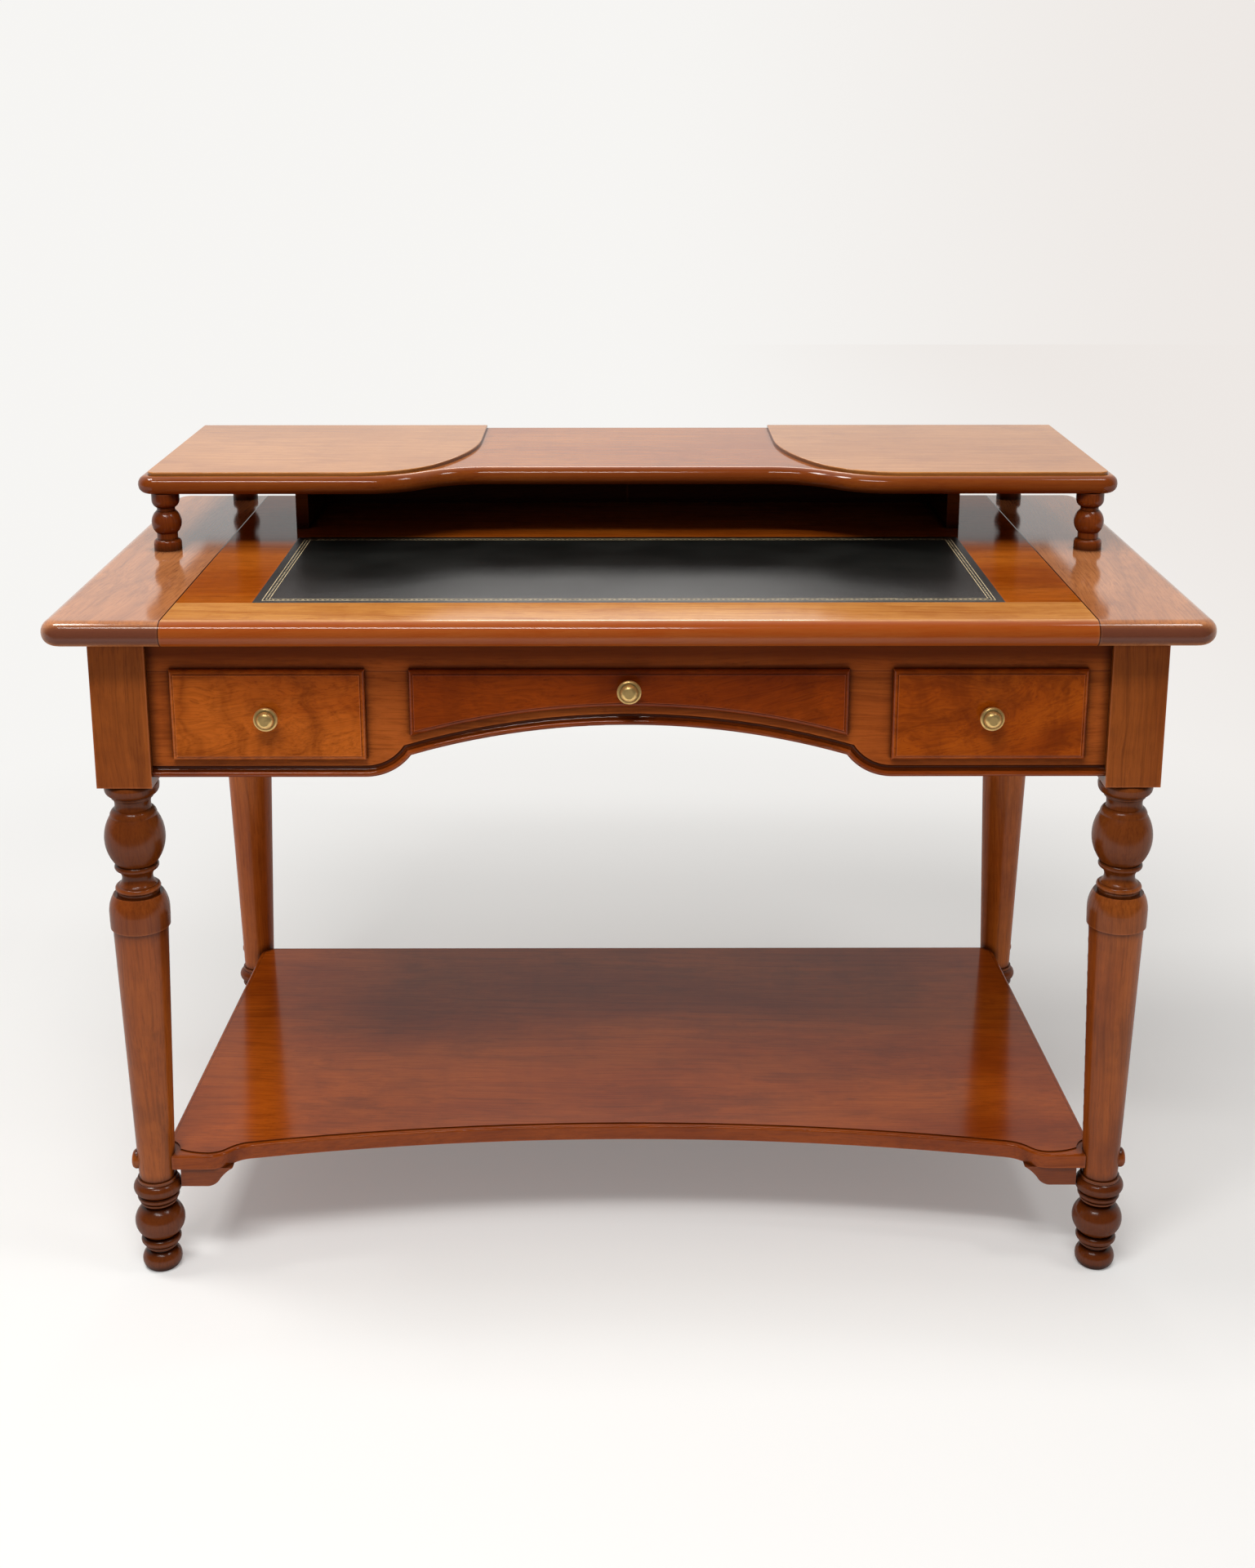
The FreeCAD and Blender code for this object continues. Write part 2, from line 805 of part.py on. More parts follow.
def divider():
    """The upright between the left and the centre drawer, with a ledge and a guide on each side."""
    box_inner = -side_box_edges()[0]
    low = side_opening_bottom
    high = centre_opening_bottom()
    centre_edge = -centre_box_half()
    web_middle = (box_inner + centre_edge) / 2
    web_left = web_middle - divider_web_thickness / 2
    web_right = web_middle + divider_web_thickness / 2
    left_guide = box_inner + guide_clearance
    right_guide = centre_edge - guide_clearance
    points = [section_point(box_inner - runner_ledge_width, low - runner_depth),
              section_point(web_right, low - runner_depth),
              section_point(web_right, high - runner_depth),
              section_point(centre_edge + runner_ledge_width, high - runner_depth),
              section_point(centre_edge + runner_ledge_width, high),
              section_point(right_guide, high),
              section_point(right_guide, high + guide_height),
              section_point(web_right, high + guide_height),
              section_point(web_right, top_underside),
              section_point(web_left, top_underside),
              section_point(web_left, low + guide_height),
              section_point(left_guide, low + guide_height),
              section_point(left_guide, low),
              section_point(box_inner - runner_ledge_width, low)]
    return profile_bar(points, rear_apron_inner_y)


def screw_places():
    """Places of the screws that hold the top, two in each kicker."""
    return [(x, y) for x in (-side_drawer_offset, 0, side_drawer_offset)
            for y in (-top_screw_spread, top_screw_spread)]


def screw_bore(x, y, clearance):
    """The space of one top screw, its head sunk into the kicker."""
    kicker_bottom = box_top + kicker_gap
    head_seat = kicker_bottom + top_screw_countersink
    shank = rod(top_screw_radius + clearance, vec(x, y, head_seat),
                vec(x, y, top_underside + top_screw_bite + clearance))
    head_low = kicker_bottom if clearance else head_seat - top_screw_head_height
    head = rod(top_screw_head_radius + clearance, vec(x, y, head_low), vec(x, y, head_seat))
    return shank.fuse(head)


def kickers():
    """Bars above the drawers that stop them tipping and take the screws of the top."""
    bars = []
    for middle in (-side_drawer_offset, 0, side_drawer_offset):
        bar = box(middle - kicker_width / 2, middle + kicker_width / 2, apron_inner_y,
                  rear_apron_inner_y, box_top + kicker_gap, top_underside)
        for x, y in screw_places():
            if x == middle:
                bar = bar.cut(screw_bore(x, y, screw_clearance))
        bars.append(bar)
    return Part.makeCompound(bars)


def make_apron():
    save("front_apron_board", apron_board())
    save("front_top_rail", front_top_rail())
    bead = left_bead()
    save("apron_bead_left", bead)
    save("apron_bead_right", mirror_x(bead))
    save("apron_bead_arch", arch_bead())
    side = side_apron()
    save("left_side_apron", side)
    save("right_side_apron", mirror_x(side))
    save("rear_apron", rear_apron())
    runner = outer_runner()
    save("left_drawer_runner", runner)
    save("right_drawer_runner", mirror_x(runner))
    upright = divider()
    save("left_drawer_divider", upright)
    save("right_drawer_divider", mirror_x(upright))
    save("drawer_kickers", kickers())
    save("top_screws", Part.makeCompound([screw_bore(x, y, 0) for x, y in screw_places()]))


# ---------------------------------------------------------------- drawers

def front_face(kind, inset):
    """The outline of a drawer front, drawn in from its edge by the inset."""
    top = front_top - inset
    if kind == "centre":
        return arched_face(centre_half_width - inset, top, centre_front_margin + inset)
    half = side_front_width / 2 - inset
    corners = [apron_point(-half, side_front_bottom + inset), apron_point(half, side_front_bottom + inset),
               apron_point(half, top), apron_point(-half, top)]
    return Part.Face(Part.makePolygon(corners + corners[:1]))


def front_slab(kind, inset, y0, y1):
    """A slab of the drawer front between two depths."""
    face = front_face(kind, inset)
    face.translate(vec(0, y0 - apron_front_y, 0))
    return face.extrude(vec(0, y1 - y0, 0))


def drawer_bottom_plate(half_width, low, y0, y1, clearance):
    """The thin bottom panel, or the groove round it when a clearance is given."""
    z = low + drawer_bottom_rise
    reach = half_width - drawer_side_thickness + groove_depth
    return box(-reach - clearance, reach + clearance, y0 - clearance, y1,
               z - clearance, z + drawer_bottom_thickness + clearance)


def knob_height(kind):
    """The knob sits in the middle of its front."""
    bottom = arch_apex(centre_front_margin).z if kind == "centre" else side_front_bottom
    return (front_top + bottom) / 2


def knob(kind):
    """A brass knob on a small base, its head a rimmed disc with a dome, with a screw stud."""
    knob_turning = Turning(knob_stud_radius)
    knob_turning.straight(knob_stud_length, knob_stud_radius)
    knob_turning.step(knob_base_radius)
    knob_turning.quarter(knob_base_thickness, knob_base_radius - knob_base_thickness, True)
    knob_turning.step(knob_neck_radius + knob_flare)
    knob_turning.curve(knob_neck_length, knob_neck_radius, knob_dome_radius)
    knob_turning.curve(knob_head_thickness, knob_head_radius, knob_dome_radius + knob_flare)
    knob_turning.step(knob_dome_radius)
    knob_turning.quarter(knob_dome_height, knob_neck_radius, True)
    shape = knob_turning.solid(vec(0, 0, -knob_stud_length))
    shape.rotate(vec(0, 0, 0), vec(1, 0, 0), 90)
    shape.translate(vec(0, field_front_y, knob_height(kind)))
    return shape


def drawer_pieces(kind):
    """The six pieces of one drawer, centred on the desk's middle plane."""
    centre = kind == "centre"
    half = centre_box_half() if centre else side_front_width / 2 - lip_overlap - drawer_side_clearance
    low = (centre_opening_bottom() if centre else side_opening_bottom) + drawer_rest_gap
    back_y = core_back_y + drawer_length
    plate = drawer_bottom_plate(half, low, core_back_y - groove_depth, back_y, 0)
    groove = drawer_bottom_plate(half, low, core_back_y - groove_depth, back_y, groove_clearance)

    lip = front_slab(kind, 0, lip_back_y - lip_thickness, lip_back_y)
    rims = edges_at(lip, lambda p: near(p.y, lip_back_y - lip_thickness))
    lip = lip.makeFillet(lip_round, rims)
    field = front_slab(kind, field_inset, field_front_y, lip_back_y)
    core = front_slab(kind, lip_overlap + front_core_clearance, lip_back_y, core_back_y)
    front = lip.fuse(field).fuse(core).cut(groove)
    bore_y = field_front_y + knob_stud_length
    front = front.cut(rod(knob_stud_radius + screw_clearance, vec(0, field_front_y, knob_height(kind)),
                          vec(0, bore_y + screw_clearance, knob_height(kind))))

    inner = half - drawer_side_thickness
    side = box(-half, -inner, core_back_y, back_y, low, box_top).cut(groove)
    back_low = low + drawer_bottom_rise + drawer_bottom_thickness
    back = box(-inner, inner, back_y - drawer_side_thickness, back_y, back_low,
               box_top - drawer_back_drop)
    return {"front": front.removeSplitter(), "left_side": side, "right_side": mirror_x(side),
            "back": back, "bottom": plate, "knob": knob(kind)}


def make_drawers():
    places = {"left": -side_drawer_offset, "centre": 0, "right": side_drawer_offset}
    for name, x in places.items():
        kind = "centre" if name == "centre" else "side"
        for piece, shape in drawer_pieces(kind).items():
            shape.translate(vec(x, 0, 0))
            save(name + "_drawer_" + piece, shape)


# ---------------------------------------------------------------- writing top

def rounded_outline(half_width, y0, y1, radius):
    """Half of a rectangle with round corners, from the front middle to the back middle."""
    cut = radius * (1 - math.sqrt(0.5))
    left = -half_width
    front_start, front_end = vec(left + radius, y0, 0), vec(left, y0 + radius, 0)
    back_start, back_end = vec(left, y1 - radius, 0), vec(left + radius, y1, 0)
    return [line(vec(0, y0, 0), front_start),
            arc(front_start, vec(left + cut, y0 + cut, 0), front_end),
            line(front_end, back_start),
            arc(back_start, vec(left + cut, y1 - cut, 0), back_end),
            line(back_end, vec(0, y1, 0))]


def nosed_board(face, z0, thickness, square_y=None):
    """A board with a half-round nose; an edge that lies at square_y is left square."""
    face.translate(vec(0, 0, z0))
    board = face.extrude(vec(0, 0, thickness))
    z1 = z0 + thickness
    rims = edges_at(board, lambda p: near(p.z, z0)) + edges_at(board, lambda p: near(p.z, z1))
    if square_y is not None:
        rims = [edge for edge in rims if not near(edge.CenterOfMass.y, square_y)]
    return board.makeFillet((thickness - nose_flat) / 2, rims)


def seam_groove(x):
    """A shallow V along a seam of the writing top."""
    half = seam_groove_width / 2
    corners = [vec(x - half, -half_top_depth, top_height), vec(x + half, -half_top_depth, top_height),
               vec(x, -half_top_depth, top_height - half)]
    face = Part.Face(Part.makePolygon(corners + corners[:1]))
    return face.extrude(vec(0, top_depth, 0))


def baluster_places():
    """Middle of the front and rear baluster on the left, on the writing top."""
    half = half_gallery_width
    return {"front": (front_baluster_inset - half, gallery_front_y + front_baluster_setback),
            "rear": (rear_baluster_inset - half, gallery_back_y - rear_baluster_setback)}


def pin_bore(x, y, z0, z1):
    return rod(baluster_pin_radius + baluster_pin_clearance, vec(x, y, z0), vec(x, y, z1))


def make_top():
    """The top is one nosed blank, parted along its joints."""
    outline = rounded_outline(half_top_width, -half_top_depth, half_top_depth, top_corner_radius)
    blank = nosed_board(symmetric_face(outline), top_underside, top_thickness)
    for side in (-1, 1):
        blank = blank.cut(seam_groove(side * seam_x))
    for x, y in baluster_places().values():
        pit = top_height - baluster_pin_length - baluster_pin_clearance
        blank = blank.cut(pin_bore(x, y, pit, top_height))
        blank = blank.cut(pin_bore(-x, y, pit, top_height))
    for x, y in screw_places():
        blank = blank.cut(screw_bore(x, y, screw_clearance))
    z0, z1 = top_underside, top_height
    half_writing = half_writing_width
    panel_top = top_height - leather_thickness
    front, back = -half_top_depth, half_top_depth
    cuts = {"left_end_board": (-half_top_width, -seam_x, front, back, z0, z1),
            "right_end_board": (seam_x, half_top_width, front, back, z0, z1),
            "top_front_rail": (-seam_x, seam_x, front, writing_front_y, z0, z1),
            "top_rear_board": (-seam_x, seam_x, writing_back_y, back, z0, z1),
            "left_top_stile": (-seam_x, -half_writing, writing_front_y, writing_back_y, z0, z1),
            "right_top_stile": (half_writing, seam_x, writing_front_y, writing_back_y, z0, z1),
            "writing_panel": (-half_writing, half_writing, writing_front_y, writing_back_y,
                              z0, panel_top)}
    for name, limits in cuts.items():
        save(name, blank.common(box(*limits)))
    save("writing_leather", box(-half_writing, half_writing, writing_front_y, writing_back_y,
                                panel_top, top_height))


# ---------------------------------------------------------------- gallery

def gallery_outline():
    """Left half of the shelf's outline: a recessed middle, an S-curve and a forward wing."""
    turn = math.radians(recess_curve_angle)
    radius = recess_depth / 2 / (1 - math.cos(turn))
    run = radius * math.sin(turn)
    inner_x = recess_curve_offset - run
    outer_x = recess_curve_offset + run
    recess_y = gallery_front_y + recess_depth
    middle = vec(-recess_curve_offset, gallery_front_y + recess_depth / 2, 0)
    half_run = radius * math.sin(turn / 2)
    half_drop = radius * (1 - math.cos(turn / 2))
    edges = [line(vec(0, recess_y, 0), vec(-inner_x, recess_y, 0)),
             arc(vec(-inner_x, recess_y, 0), vec(-inner_x - half_run, recess_y - half_drop, 0), middle),
             arc(middle, vec(-outer_x + half_run, gallery_front_y + half_drop, 0),
                 vec(-outer_x, gallery_front_y, 0))]
    left, corner = -half_gallery_width, gallery_corner_radius
    cut = corner * (1 - math.sqrt(0.5))
    corner_start = vec(left + corner, gallery_front_y, 0)
    corner_end = vec(left, gallery_front_y + corner, 0)
    back_corner = vec(left, gallery_back_y, 0)
    edges += [line(vec(-outer_x, gallery_front_y, 0), corner_start),
              arc(corner_start, vec(left + cut, gallery_front_y + cut, 0), corner_end),
              line(corner_end, back_corner), line(back_corner, vec(0, gallery_back_y, 0))]
    return edges


def gallery_shelf():
    """The shelf is nosed at its front and ends; its back is square and stands against a wall."""
    face = symmetric_face(gallery_outline())
    shelf = nosed_board(face, gallery_underside, gallery_shelf_thickness, gallery_back_y)
    top_of_bore = gallery_underside + baluster_pin_length + baluster_pin_clearance
    for x, y in baluster_places().values():
        for side in (-1, 1):
            shelf = shelf.cut(pin_bore(side * x, y, gallery_underside, top_of_bore))
    return shelf


def tablet():
    """The thin raised tablet on the left wing; its inner edge sweeps back in two arcs."""
    edge_inset = gallery_nose + tablet_margin
    front_y = gallery_front_y + edge_inset
    back_y = gallery_back_y - tablet_margin
    left = -half_gallery_width + edge_inset
    turn = math.radians(tablet_front_angle)
    r1, r2 = tablet_front_radius, tablet_side_radius
    inner_x = -tablet_inner_offset
    joint = vec(inner_x - r2 * (1 - math.sin(turn)), front_y + r1 * (1 - math.cos(turn)), 0)
    start = vec(joint.x - r1 * math.sin(turn), front_y, 0)
    first_middle = vec(start.x + r1 * math.sin(turn / 2), front_y + r1 * (1 - math.cos(turn / 2)), 0)
    end = vec(inner_x, joint.y + r2 * math.cos(turn), 0)
    half_way = (turn + math.pi / 2) / 2
    second_middle = vec(inner_x - r2 * (1 - math.sin(half_way)), end.y - r2 * math.cos(half_way), 0)
    r = tablet_corner_radius
    cut = r * (1 - math.sqrt(0.5))
    edges = [arc(start, first_middle, joint), arc(joint, second_middle, end),
             line(end, vec(inner_x, back_y, 0)),
             line(vec(inner_x, back_y, 0), vec(left, back_y, 0)),
             line(vec(left, back_y, 0), vec(left, front_y + r, 0)),
             arc(vec(left, front_y + r, 0), vec(left + cut, front_y + cut, 0), vec(left + r, front_y, 0)),
             line(vec(left + r, front_y, 0), start)]
    face = face_of(edges)
    face.translate(vec(0, 0, gallery_top))
    plate = face.extrude(vec(0, 0, tablet_thickness))
    rims = edges_at(plate, lambda p: near(p.z, gallery_top + tablet_thickness))
    return plate.makeFillet(tablet_edge_round, rims)


def baluster(x, y):
    """A short turned post: base, ball and cap, with a pin at each end."""
    cap_height = (gallery_clear_height - baluster_base_height - baluster_shoulder_height
                  - baluster_neck_height - baluster_ball_height - baluster_upper_neck_height
                  - baluster_cap_flare_height)
    post = Turning(baluster_pin_radius)
    post.straight(baluster_pin_length, baluster_pin_radius)
    post.step(baluster_base_radius)
    post.straight(baluster_base_height, baluster_base_radius)
    post.quarter(baluster_shoulder_height, baluster_neck_radius, True)
    post.straight(baluster_neck_height, baluster_neck_radius)
    post.curve(baluster_ball_height, baluster_ball_radius, baluster_upper_neck_radius + baluster_quirk)
    post.step(baluster_upper_neck_radius)
    post.straight(baluster_upper_neck_height, baluster_upper_neck_radius)
    post.quarter(baluster_cap_flare_height, baluster_base_radius, False)
    post.straight(cap_height, baluster_base_radius)
    post.step(baluster_pin_radius)
    post.straight(baluster_pin_length, baluster_pin_radius)
    return post.solid(vec(x, y, top_height - baluster_pin_length))


def make_gallery():
    save("gallery_shelf", gallery_shelf())
    plate = tablet()
    save("left_gallery_tablet", plate)
    save("right_gallery_tablet", mirror_x(plate))
    inner = compartment_half_width
    front = gallery_front_y + compartment_front_setback
    back = front + compartment_depth
    side = box(-inner - compartment_side_thickness, -inner, front, back + compartment_back_thickness,
               top_height, gallery_underside)
    save("left_gallery_side", side)
    save("right_gallery_side", mirror_x(side))
    board = box(-inner, 0, back, back + compartment_back_thickness, top_height, gallery_underside)
    save("left_gallery_back", board)
    save("right_gallery_back", mirror_x(board))
    for row, (x, y) in baluster_places().items():
        save(row + "_left_baluster", baluster(x, y))
        save(row + "_right_baluster", baluster(-x, y))


# ---------------------------------------------------------------- lower shelf

def shelf_outline(inset, ear_round=0):
    """Left half of the lower shelf: a swept front that curves forward to an ear at the leg, and a
    side that runs in towards the rear leg.
    The ear's front is straight, or turns back in a round of the given radius."""
    sweep, hollow, ear = (shelf_sweep_radius + inset, shelf_curve_radius + inset,
                          shelf_curve_radius - inset)
    side_x = shelf_side_inset - leg_x + inset
    back_y = rear_leg_y - shelf_back_step - inset
    ear_corner = vec(shelf_ear_length - leg_x, -leg_y - shelf_ear_overhang + inset, 0)
    steep = math.radians(shelf_curve_turn)
    reach = -ear_corner.x - 2 * shelf_curve_radius * math.sin(steep)
    gentle = math.asin(reach / (shelf_sweep_radius - shelf_curve_radius))

    def on_ear(turn):
        return ear_corner + vec(ear * math.sin(turn), ear * (1 - math.cos(turn)), 0)

    half_way = on_ear(steep)

    def on_hollow(turn):
        return half_way + vec(hollow * (math.sin(steep) - math.sin(turn)),
                              hollow * (math.cos(turn) - math.cos(steep)), 0)

    sweep_end = on_hollow(gentle)
    middle = vec(0, sweep_end.y + sweep * (1 - math.cos(gentle)), 0)
    sweep_half = middle - vec(sweep * math.sin(gentle / 2), sweep * (1 - math.cos(gentle / 2)), 0)
    front_corner, back_corner = vec(side_x, ear_corner.y, 0), vec(side_x + rear_leg_inset, back_y, 0)
    ear_front = line(ear_corner, front_corner)
    if ear_round:
        turn = math.asin((ear_corner.x - side_x) / ear_round)
        half_turn = vec(-ear_round * math.sin(turn / 2), ear_round * (1 - math.cos(turn / 2)), 0)
        front_corner = vec(side_x, ear_corner.y + ear_round * (1 - math.cos(turn)), 0)
        ear_front = arc(ear_corner, ear_corner + half_turn, front_corner)
    return [arc(middle, sweep_half, sweep_end),
            arc(sweep_end, on_hollow((gentle + steep) / 2), half_way),
            arc(half_way, on_ear(steep / 2), ear_corner),
            ear_front, line(front_corner, back_corner),
            line(back_corner, vec(0, back_y, 0))]


def leg_places():
    """The axes of the four legs."""
    return [(side * x, y) for side in (-1, 1) for x, y in ((leg_x, -leg_y), (rear_leg_x, rear_leg_y))]


def at_four_legs(shape):
    """Copies of a shape at all four legs, made for the front left one."""
    left = [shape, at_rear_leg(shape)]
    return left + [mirror_x(copy) for copy in left]


def lower_shelf():
    """A board with a thin raised field, notched round the four legs and bored for the bolts."""
    board_height = shelf_thickness - shelf_field_step
    face = symmetric_face(shelf_outline(0))
    face.translate(vec(0, 0, shelf_underside))
    board = face.extrude(vec(0, 0, board_height))
    rims = edges_at(board, lambda p: near(p.z, shelf_underside + board_height))
    board = board.makeFillet(shelf_edge_round, rims)
    field_face = symmetric_face(shelf_outline(shelf_field_margin, shelf_field_ear_round))
    field_face.translate(vec(0, 0, shelf_underside + board_height))
    field = field_face.extrude(vec(0, 0, shelf_field_step))
    for x, y in leg_places():
        field = field.cut(rod(shelf_notch_radius + shelf_field_margin,
                              vec(x, y, shelf_underside), vec(x, y, shelf_top_height)))
    shelf = board.fuse(field)
    for x, y in leg_places():
        shelf = shelf.cut(rod(shelf_notch_radius, vec(x, y, shelf_underside), vec(x, y, shelf_top_height)))
    bore_end = leg_x - shelf_notch_radius - shelf_bolt_bite - screw_clearance
    bore = rod(shelf_bolt_radius + screw_clearance, vec(-leg_x, -leg_y, bolt_z),
               vec(-bore_end, -leg_y, bolt_z))
    for hole in at_four_legs(bore):
        shelf = shelf.cut(hole)
    return shelf.removeSplitter()


def shelf_bracket():
    """The bracket under the shelf's front left ear, with an ogee at its inner end."""
    start = -leg_x + foot_torus_radius + shelf_bracket_gap
    end = start + shelf_bracket_length
    foot = start + shelf_bracket_foot_length
    top, low = shelf_underside, shelf_underside - shelf_bracket_height
    y = -leg_y - shelf_ear_overhang + shelf_bracket_setback
    curl = (end - foot) / 2
    middle = vec(foot + curl, y, low + shelf_bracket_turn_height)
    edges = [line(vec(start, y, top), vec(start, y, low)), line(vec(start, y, low), vec(foot, y, low)),
             bowed(vec(foot, y, low), middle, -shelf_bracket_lower_bow),
             bowed(middle, vec(end, y, top), shelf_bracket_upper_bow),
             line(vec(end, y, top), vec(start, y, top))]
    return face_of(edges).extrude(vec(0, shelf_bracket_thickness, 0))


def shelf_bolt():
    """The bolt that goes through the front left leg into the end of the shelf."""
    head_start = -leg_x - button_seat_x() + bolt_head_gap
    head_end = head_start + shelf_bolt_head_height
    tip = -leg_x + shelf_notch_radius + shelf_bolt_bite
    head = rod(shelf_bolt_head_radius, vec(head_start, -leg_y, bolt_z), vec(head_end, -leg_y, bolt_z))
    shank = rod(shelf_bolt_radius, vec(head_end, -leg_y, bolt_z), vec(tip, -leg_y, bolt_z))
    return head.fuse(shank)


def bolt_button():
    """The domed wooden button that hides a bolt head."""
    dome = Turning(button_radius)
    dome.straight(button_rim, button_radius)
    dome.quarter(button_dome_height, button_crown_radius, True)
    shape = dome.solid(vec(0, 0, 0))
    shape.rotate(vec(0, 0, 0), vec(0, 1, 0), -90)
    shape.translate(vec(-leg_x - button_seat_x(), -leg_y, bolt_z))
    return shape


def make_lower_shelf():
    save("lower_shelf", lower_shelf())
    bracket = shelf_bracket()
    save("left_shelf_bracket", bracket)
    save("right_shelf_bracket", mirror_x(bracket))
    save("shelf_bolts", Part.makeCompound(at_four_legs(shelf_bolt())))
    save("bolt_buttons", Part.makeCompound(at_four_legs(bolt_button())))


os.makedirs("parts", exist_ok=True)
make_top()
make_gallery()
make_legs()
make_apron()
make_drawers()
make_lower_shelf()
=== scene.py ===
# %% [markdown]
# # A lady's writing desk in polished cherry
# The desk arrives as a finished solid model: 60 pieces, each already in its place. This lesson
# gives every piece its finish, adds the fine work that solids leave out, and lights the desk as a
# studio would. We begin by loading the model and keeping its size, because nothing that we add may
# make the desk larger.

# %% Load the desk
import bpy
import bmesh
import math
from mathutils import Matrix, Vector


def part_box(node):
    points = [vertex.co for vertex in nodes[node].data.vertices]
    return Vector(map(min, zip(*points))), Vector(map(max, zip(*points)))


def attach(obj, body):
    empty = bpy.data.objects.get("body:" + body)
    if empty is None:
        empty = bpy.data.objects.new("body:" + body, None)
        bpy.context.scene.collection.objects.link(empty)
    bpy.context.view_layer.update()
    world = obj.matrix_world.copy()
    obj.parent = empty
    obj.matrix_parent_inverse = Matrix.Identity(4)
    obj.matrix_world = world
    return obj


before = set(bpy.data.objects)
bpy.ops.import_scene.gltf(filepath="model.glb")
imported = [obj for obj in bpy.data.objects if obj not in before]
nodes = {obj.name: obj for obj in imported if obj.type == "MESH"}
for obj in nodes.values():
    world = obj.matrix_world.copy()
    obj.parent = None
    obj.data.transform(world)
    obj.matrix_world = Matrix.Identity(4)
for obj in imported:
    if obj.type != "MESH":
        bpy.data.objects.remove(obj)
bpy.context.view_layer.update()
print("pieces in the model:", len(nodes))

# %% [markdown]
# ## Camera
# The viewpoint is straight in front of the desk and a little above the gallery. A camera tilted
# down far enough to centre the desk would make the legs lean towards each other. So it is tilted
# only a little and its frame is shifted down instead, as a lens for buildings does.

# %% Camera
camera_place = (-0.0079, -2.2067, 1.2873)
degrees_down = 14.33
degrees_right = 0.186
image_height = 1920
focal_length_px = 2378.9
lens_axis_row = 720

camera_data = bpy.data.cameras.new("camera")
camera_data.lens = camera_data.sensor_width * focal_length_px / image_height
camera_data.shift_y = (lens_axis_row - image_height / 2) / image_height
camera = bpy.data.objects.new("camera", camera_data)
camera.location = camera_place
camera.rotation_euler = (math.radians(90 - degrees_down), 0, math.radians(-degrees_right))
bpy.context.collection.objects.link(camera)
bpy.context.scene.camera = camera
bpy.context.scene.view_settings.view_transform = "Standard"
print("lens", round(camera_data.lens, 1), "mm")

# %% [markdown]
# ## Writing shader networks in code
# A material is a small network of nodes. It can be drawn by hand in the Shader Editor, but a desk
# with some twenty related finishes is easier to keep alike in code. A few helpers keep the later
# cells short. `put` adds a node and sets or links its inputs: a value that is itself a socket is
# linked, and anything else is typed in. The Mix node keeps sockets for every kind of data, and
# those for colours are inputs 6 and 7 and output 2.

# %% Add a node
mix_factor, mix_first, mix_second, mix_result = 0, 6, 7, 2


def put(tree, kind, inputs=(), **settings):
    node = tree.nodes.new("ShaderNode" + kind)
    for name, value in settings.items():
        setattr(node, name, value)
    for socket, value in dict(inputs).items():
        if isinstance(value, bpy.types.NodeSocket):
            tree.links.new(value, node.inputs[socket])
        else:
            node.inputs[socket].default_value = value
    return node


print("a mix node takes colours on sockets", mix_first, "and", mix_second)

# %% [markdown]
# `calculate` is one step of arithmetic, `component` and `along` read an axis or a direction out of
# a vector, `tint` mixes two colours, `ramp` turns a range of values into a soft mask, and `masked`
# mixes two colours by such a mask. `new_material` starts an empty material, and `finish_with` joins
# its shader to the output.

# %% Arithmetic, colours and masks
def calculate(tree, operation, first, second=0.0, third=0.0):
    return put(tree, "Math", {0: first, 1: second, 2: third}, operation=operation).outputs[0]


def component(tree, vector, axis):
    return put(tree, "SeparateXYZ", {0: vector}).outputs[axis]


def along(tree, vector, direction):
    pair = {0: vector, 1: direction}
    return put(tree, "VectorMath", pair, operation="DOT_PRODUCT").outputs["Value"]


def tint(tree, factor, first, second):
    pair = {mix_factor: factor, mix_first: first, mix_second: second}
    return put(tree, "Mix", pair, data_type="RGBA").outputs[mix_result]


def ramp(tree, value, low, high, to_low=0.0, to_high=1.0):
    """Goes smoothly from to_low, where the value is low, to to_high, where it is high."""
    limits = {"Value": value, "From Min": low, "From Max": high, "To Min": to_low, "To Max": to_high}
    return put(tree, "MapRange", limits, interpolation_type="SMOOTHSTEP").outputs[0]


def masked(tree, mask, strength, colour, other):
    """Tints a colour towards another where the mask is white, at most by the strength."""
    return tint(tree, calculate(tree, "MULTIPLY", mask, strength), colour, other)


def opaque(colour, factor=1.0, offset=0.0):
    """Red, green and blue, scaled if need be, with a full alpha after them."""
    return tuple(offset + channel * factor for channel in colour) + (1,)


def new_material(name):
    material = bpy.data.materials.new(name)
    material.use_nodes = True
    material.node_tree.nodes.clear()
    return material, material.node_tree


def finish_with(tree, shader):
    put(tree, "OutputMaterial", {"Surface": shader})


print("white with its alpha:", opaque((1, 1, 1)))

# %% [markdown]
# ## Surroundings
# A pale studio has no horizon: floor and wall run into each other. The simplest way to get that is
# to give both the same plain colour in the camera's view. Polished wood also mirrors them, so both
# stay white behind the desk and turn dark on the side of the room where the viewer stands, which
# keeps the polished fronts deep in colour. The right side is a little greyer.

# %% What the camera and the mirrors see
surround_colour = (0.925, 0.915, 0.895)
shaded_surround = (0.85, 0.81, 0.78)
dark_side, bright_side = 0.07, 1.0


def seen_directly(tree):
    rays = put(tree, "LightPath").outputs
    mirrored = calculate(tree, "MAXIMUM", rays["Is Glossy Ray"], rays["Is Transmission Ray"])
    return calculate(tree, "MAXIMUM", rays["Is Camera Ray"], mirrored)


def room_brightness(tree, vector, dark_until, bright_from):
    """1 for the camera. In a reflection it rises from the front of the room to the back."""
    room = ramp(tree, component(tree, vector, "Y"), dark_until, bright_from, dark_side, bright_side)
    direct = put(tree, "LightPath").outputs["Is Camera Ray"]
    return calculate(tree, "MAXIMUM", room, direct)


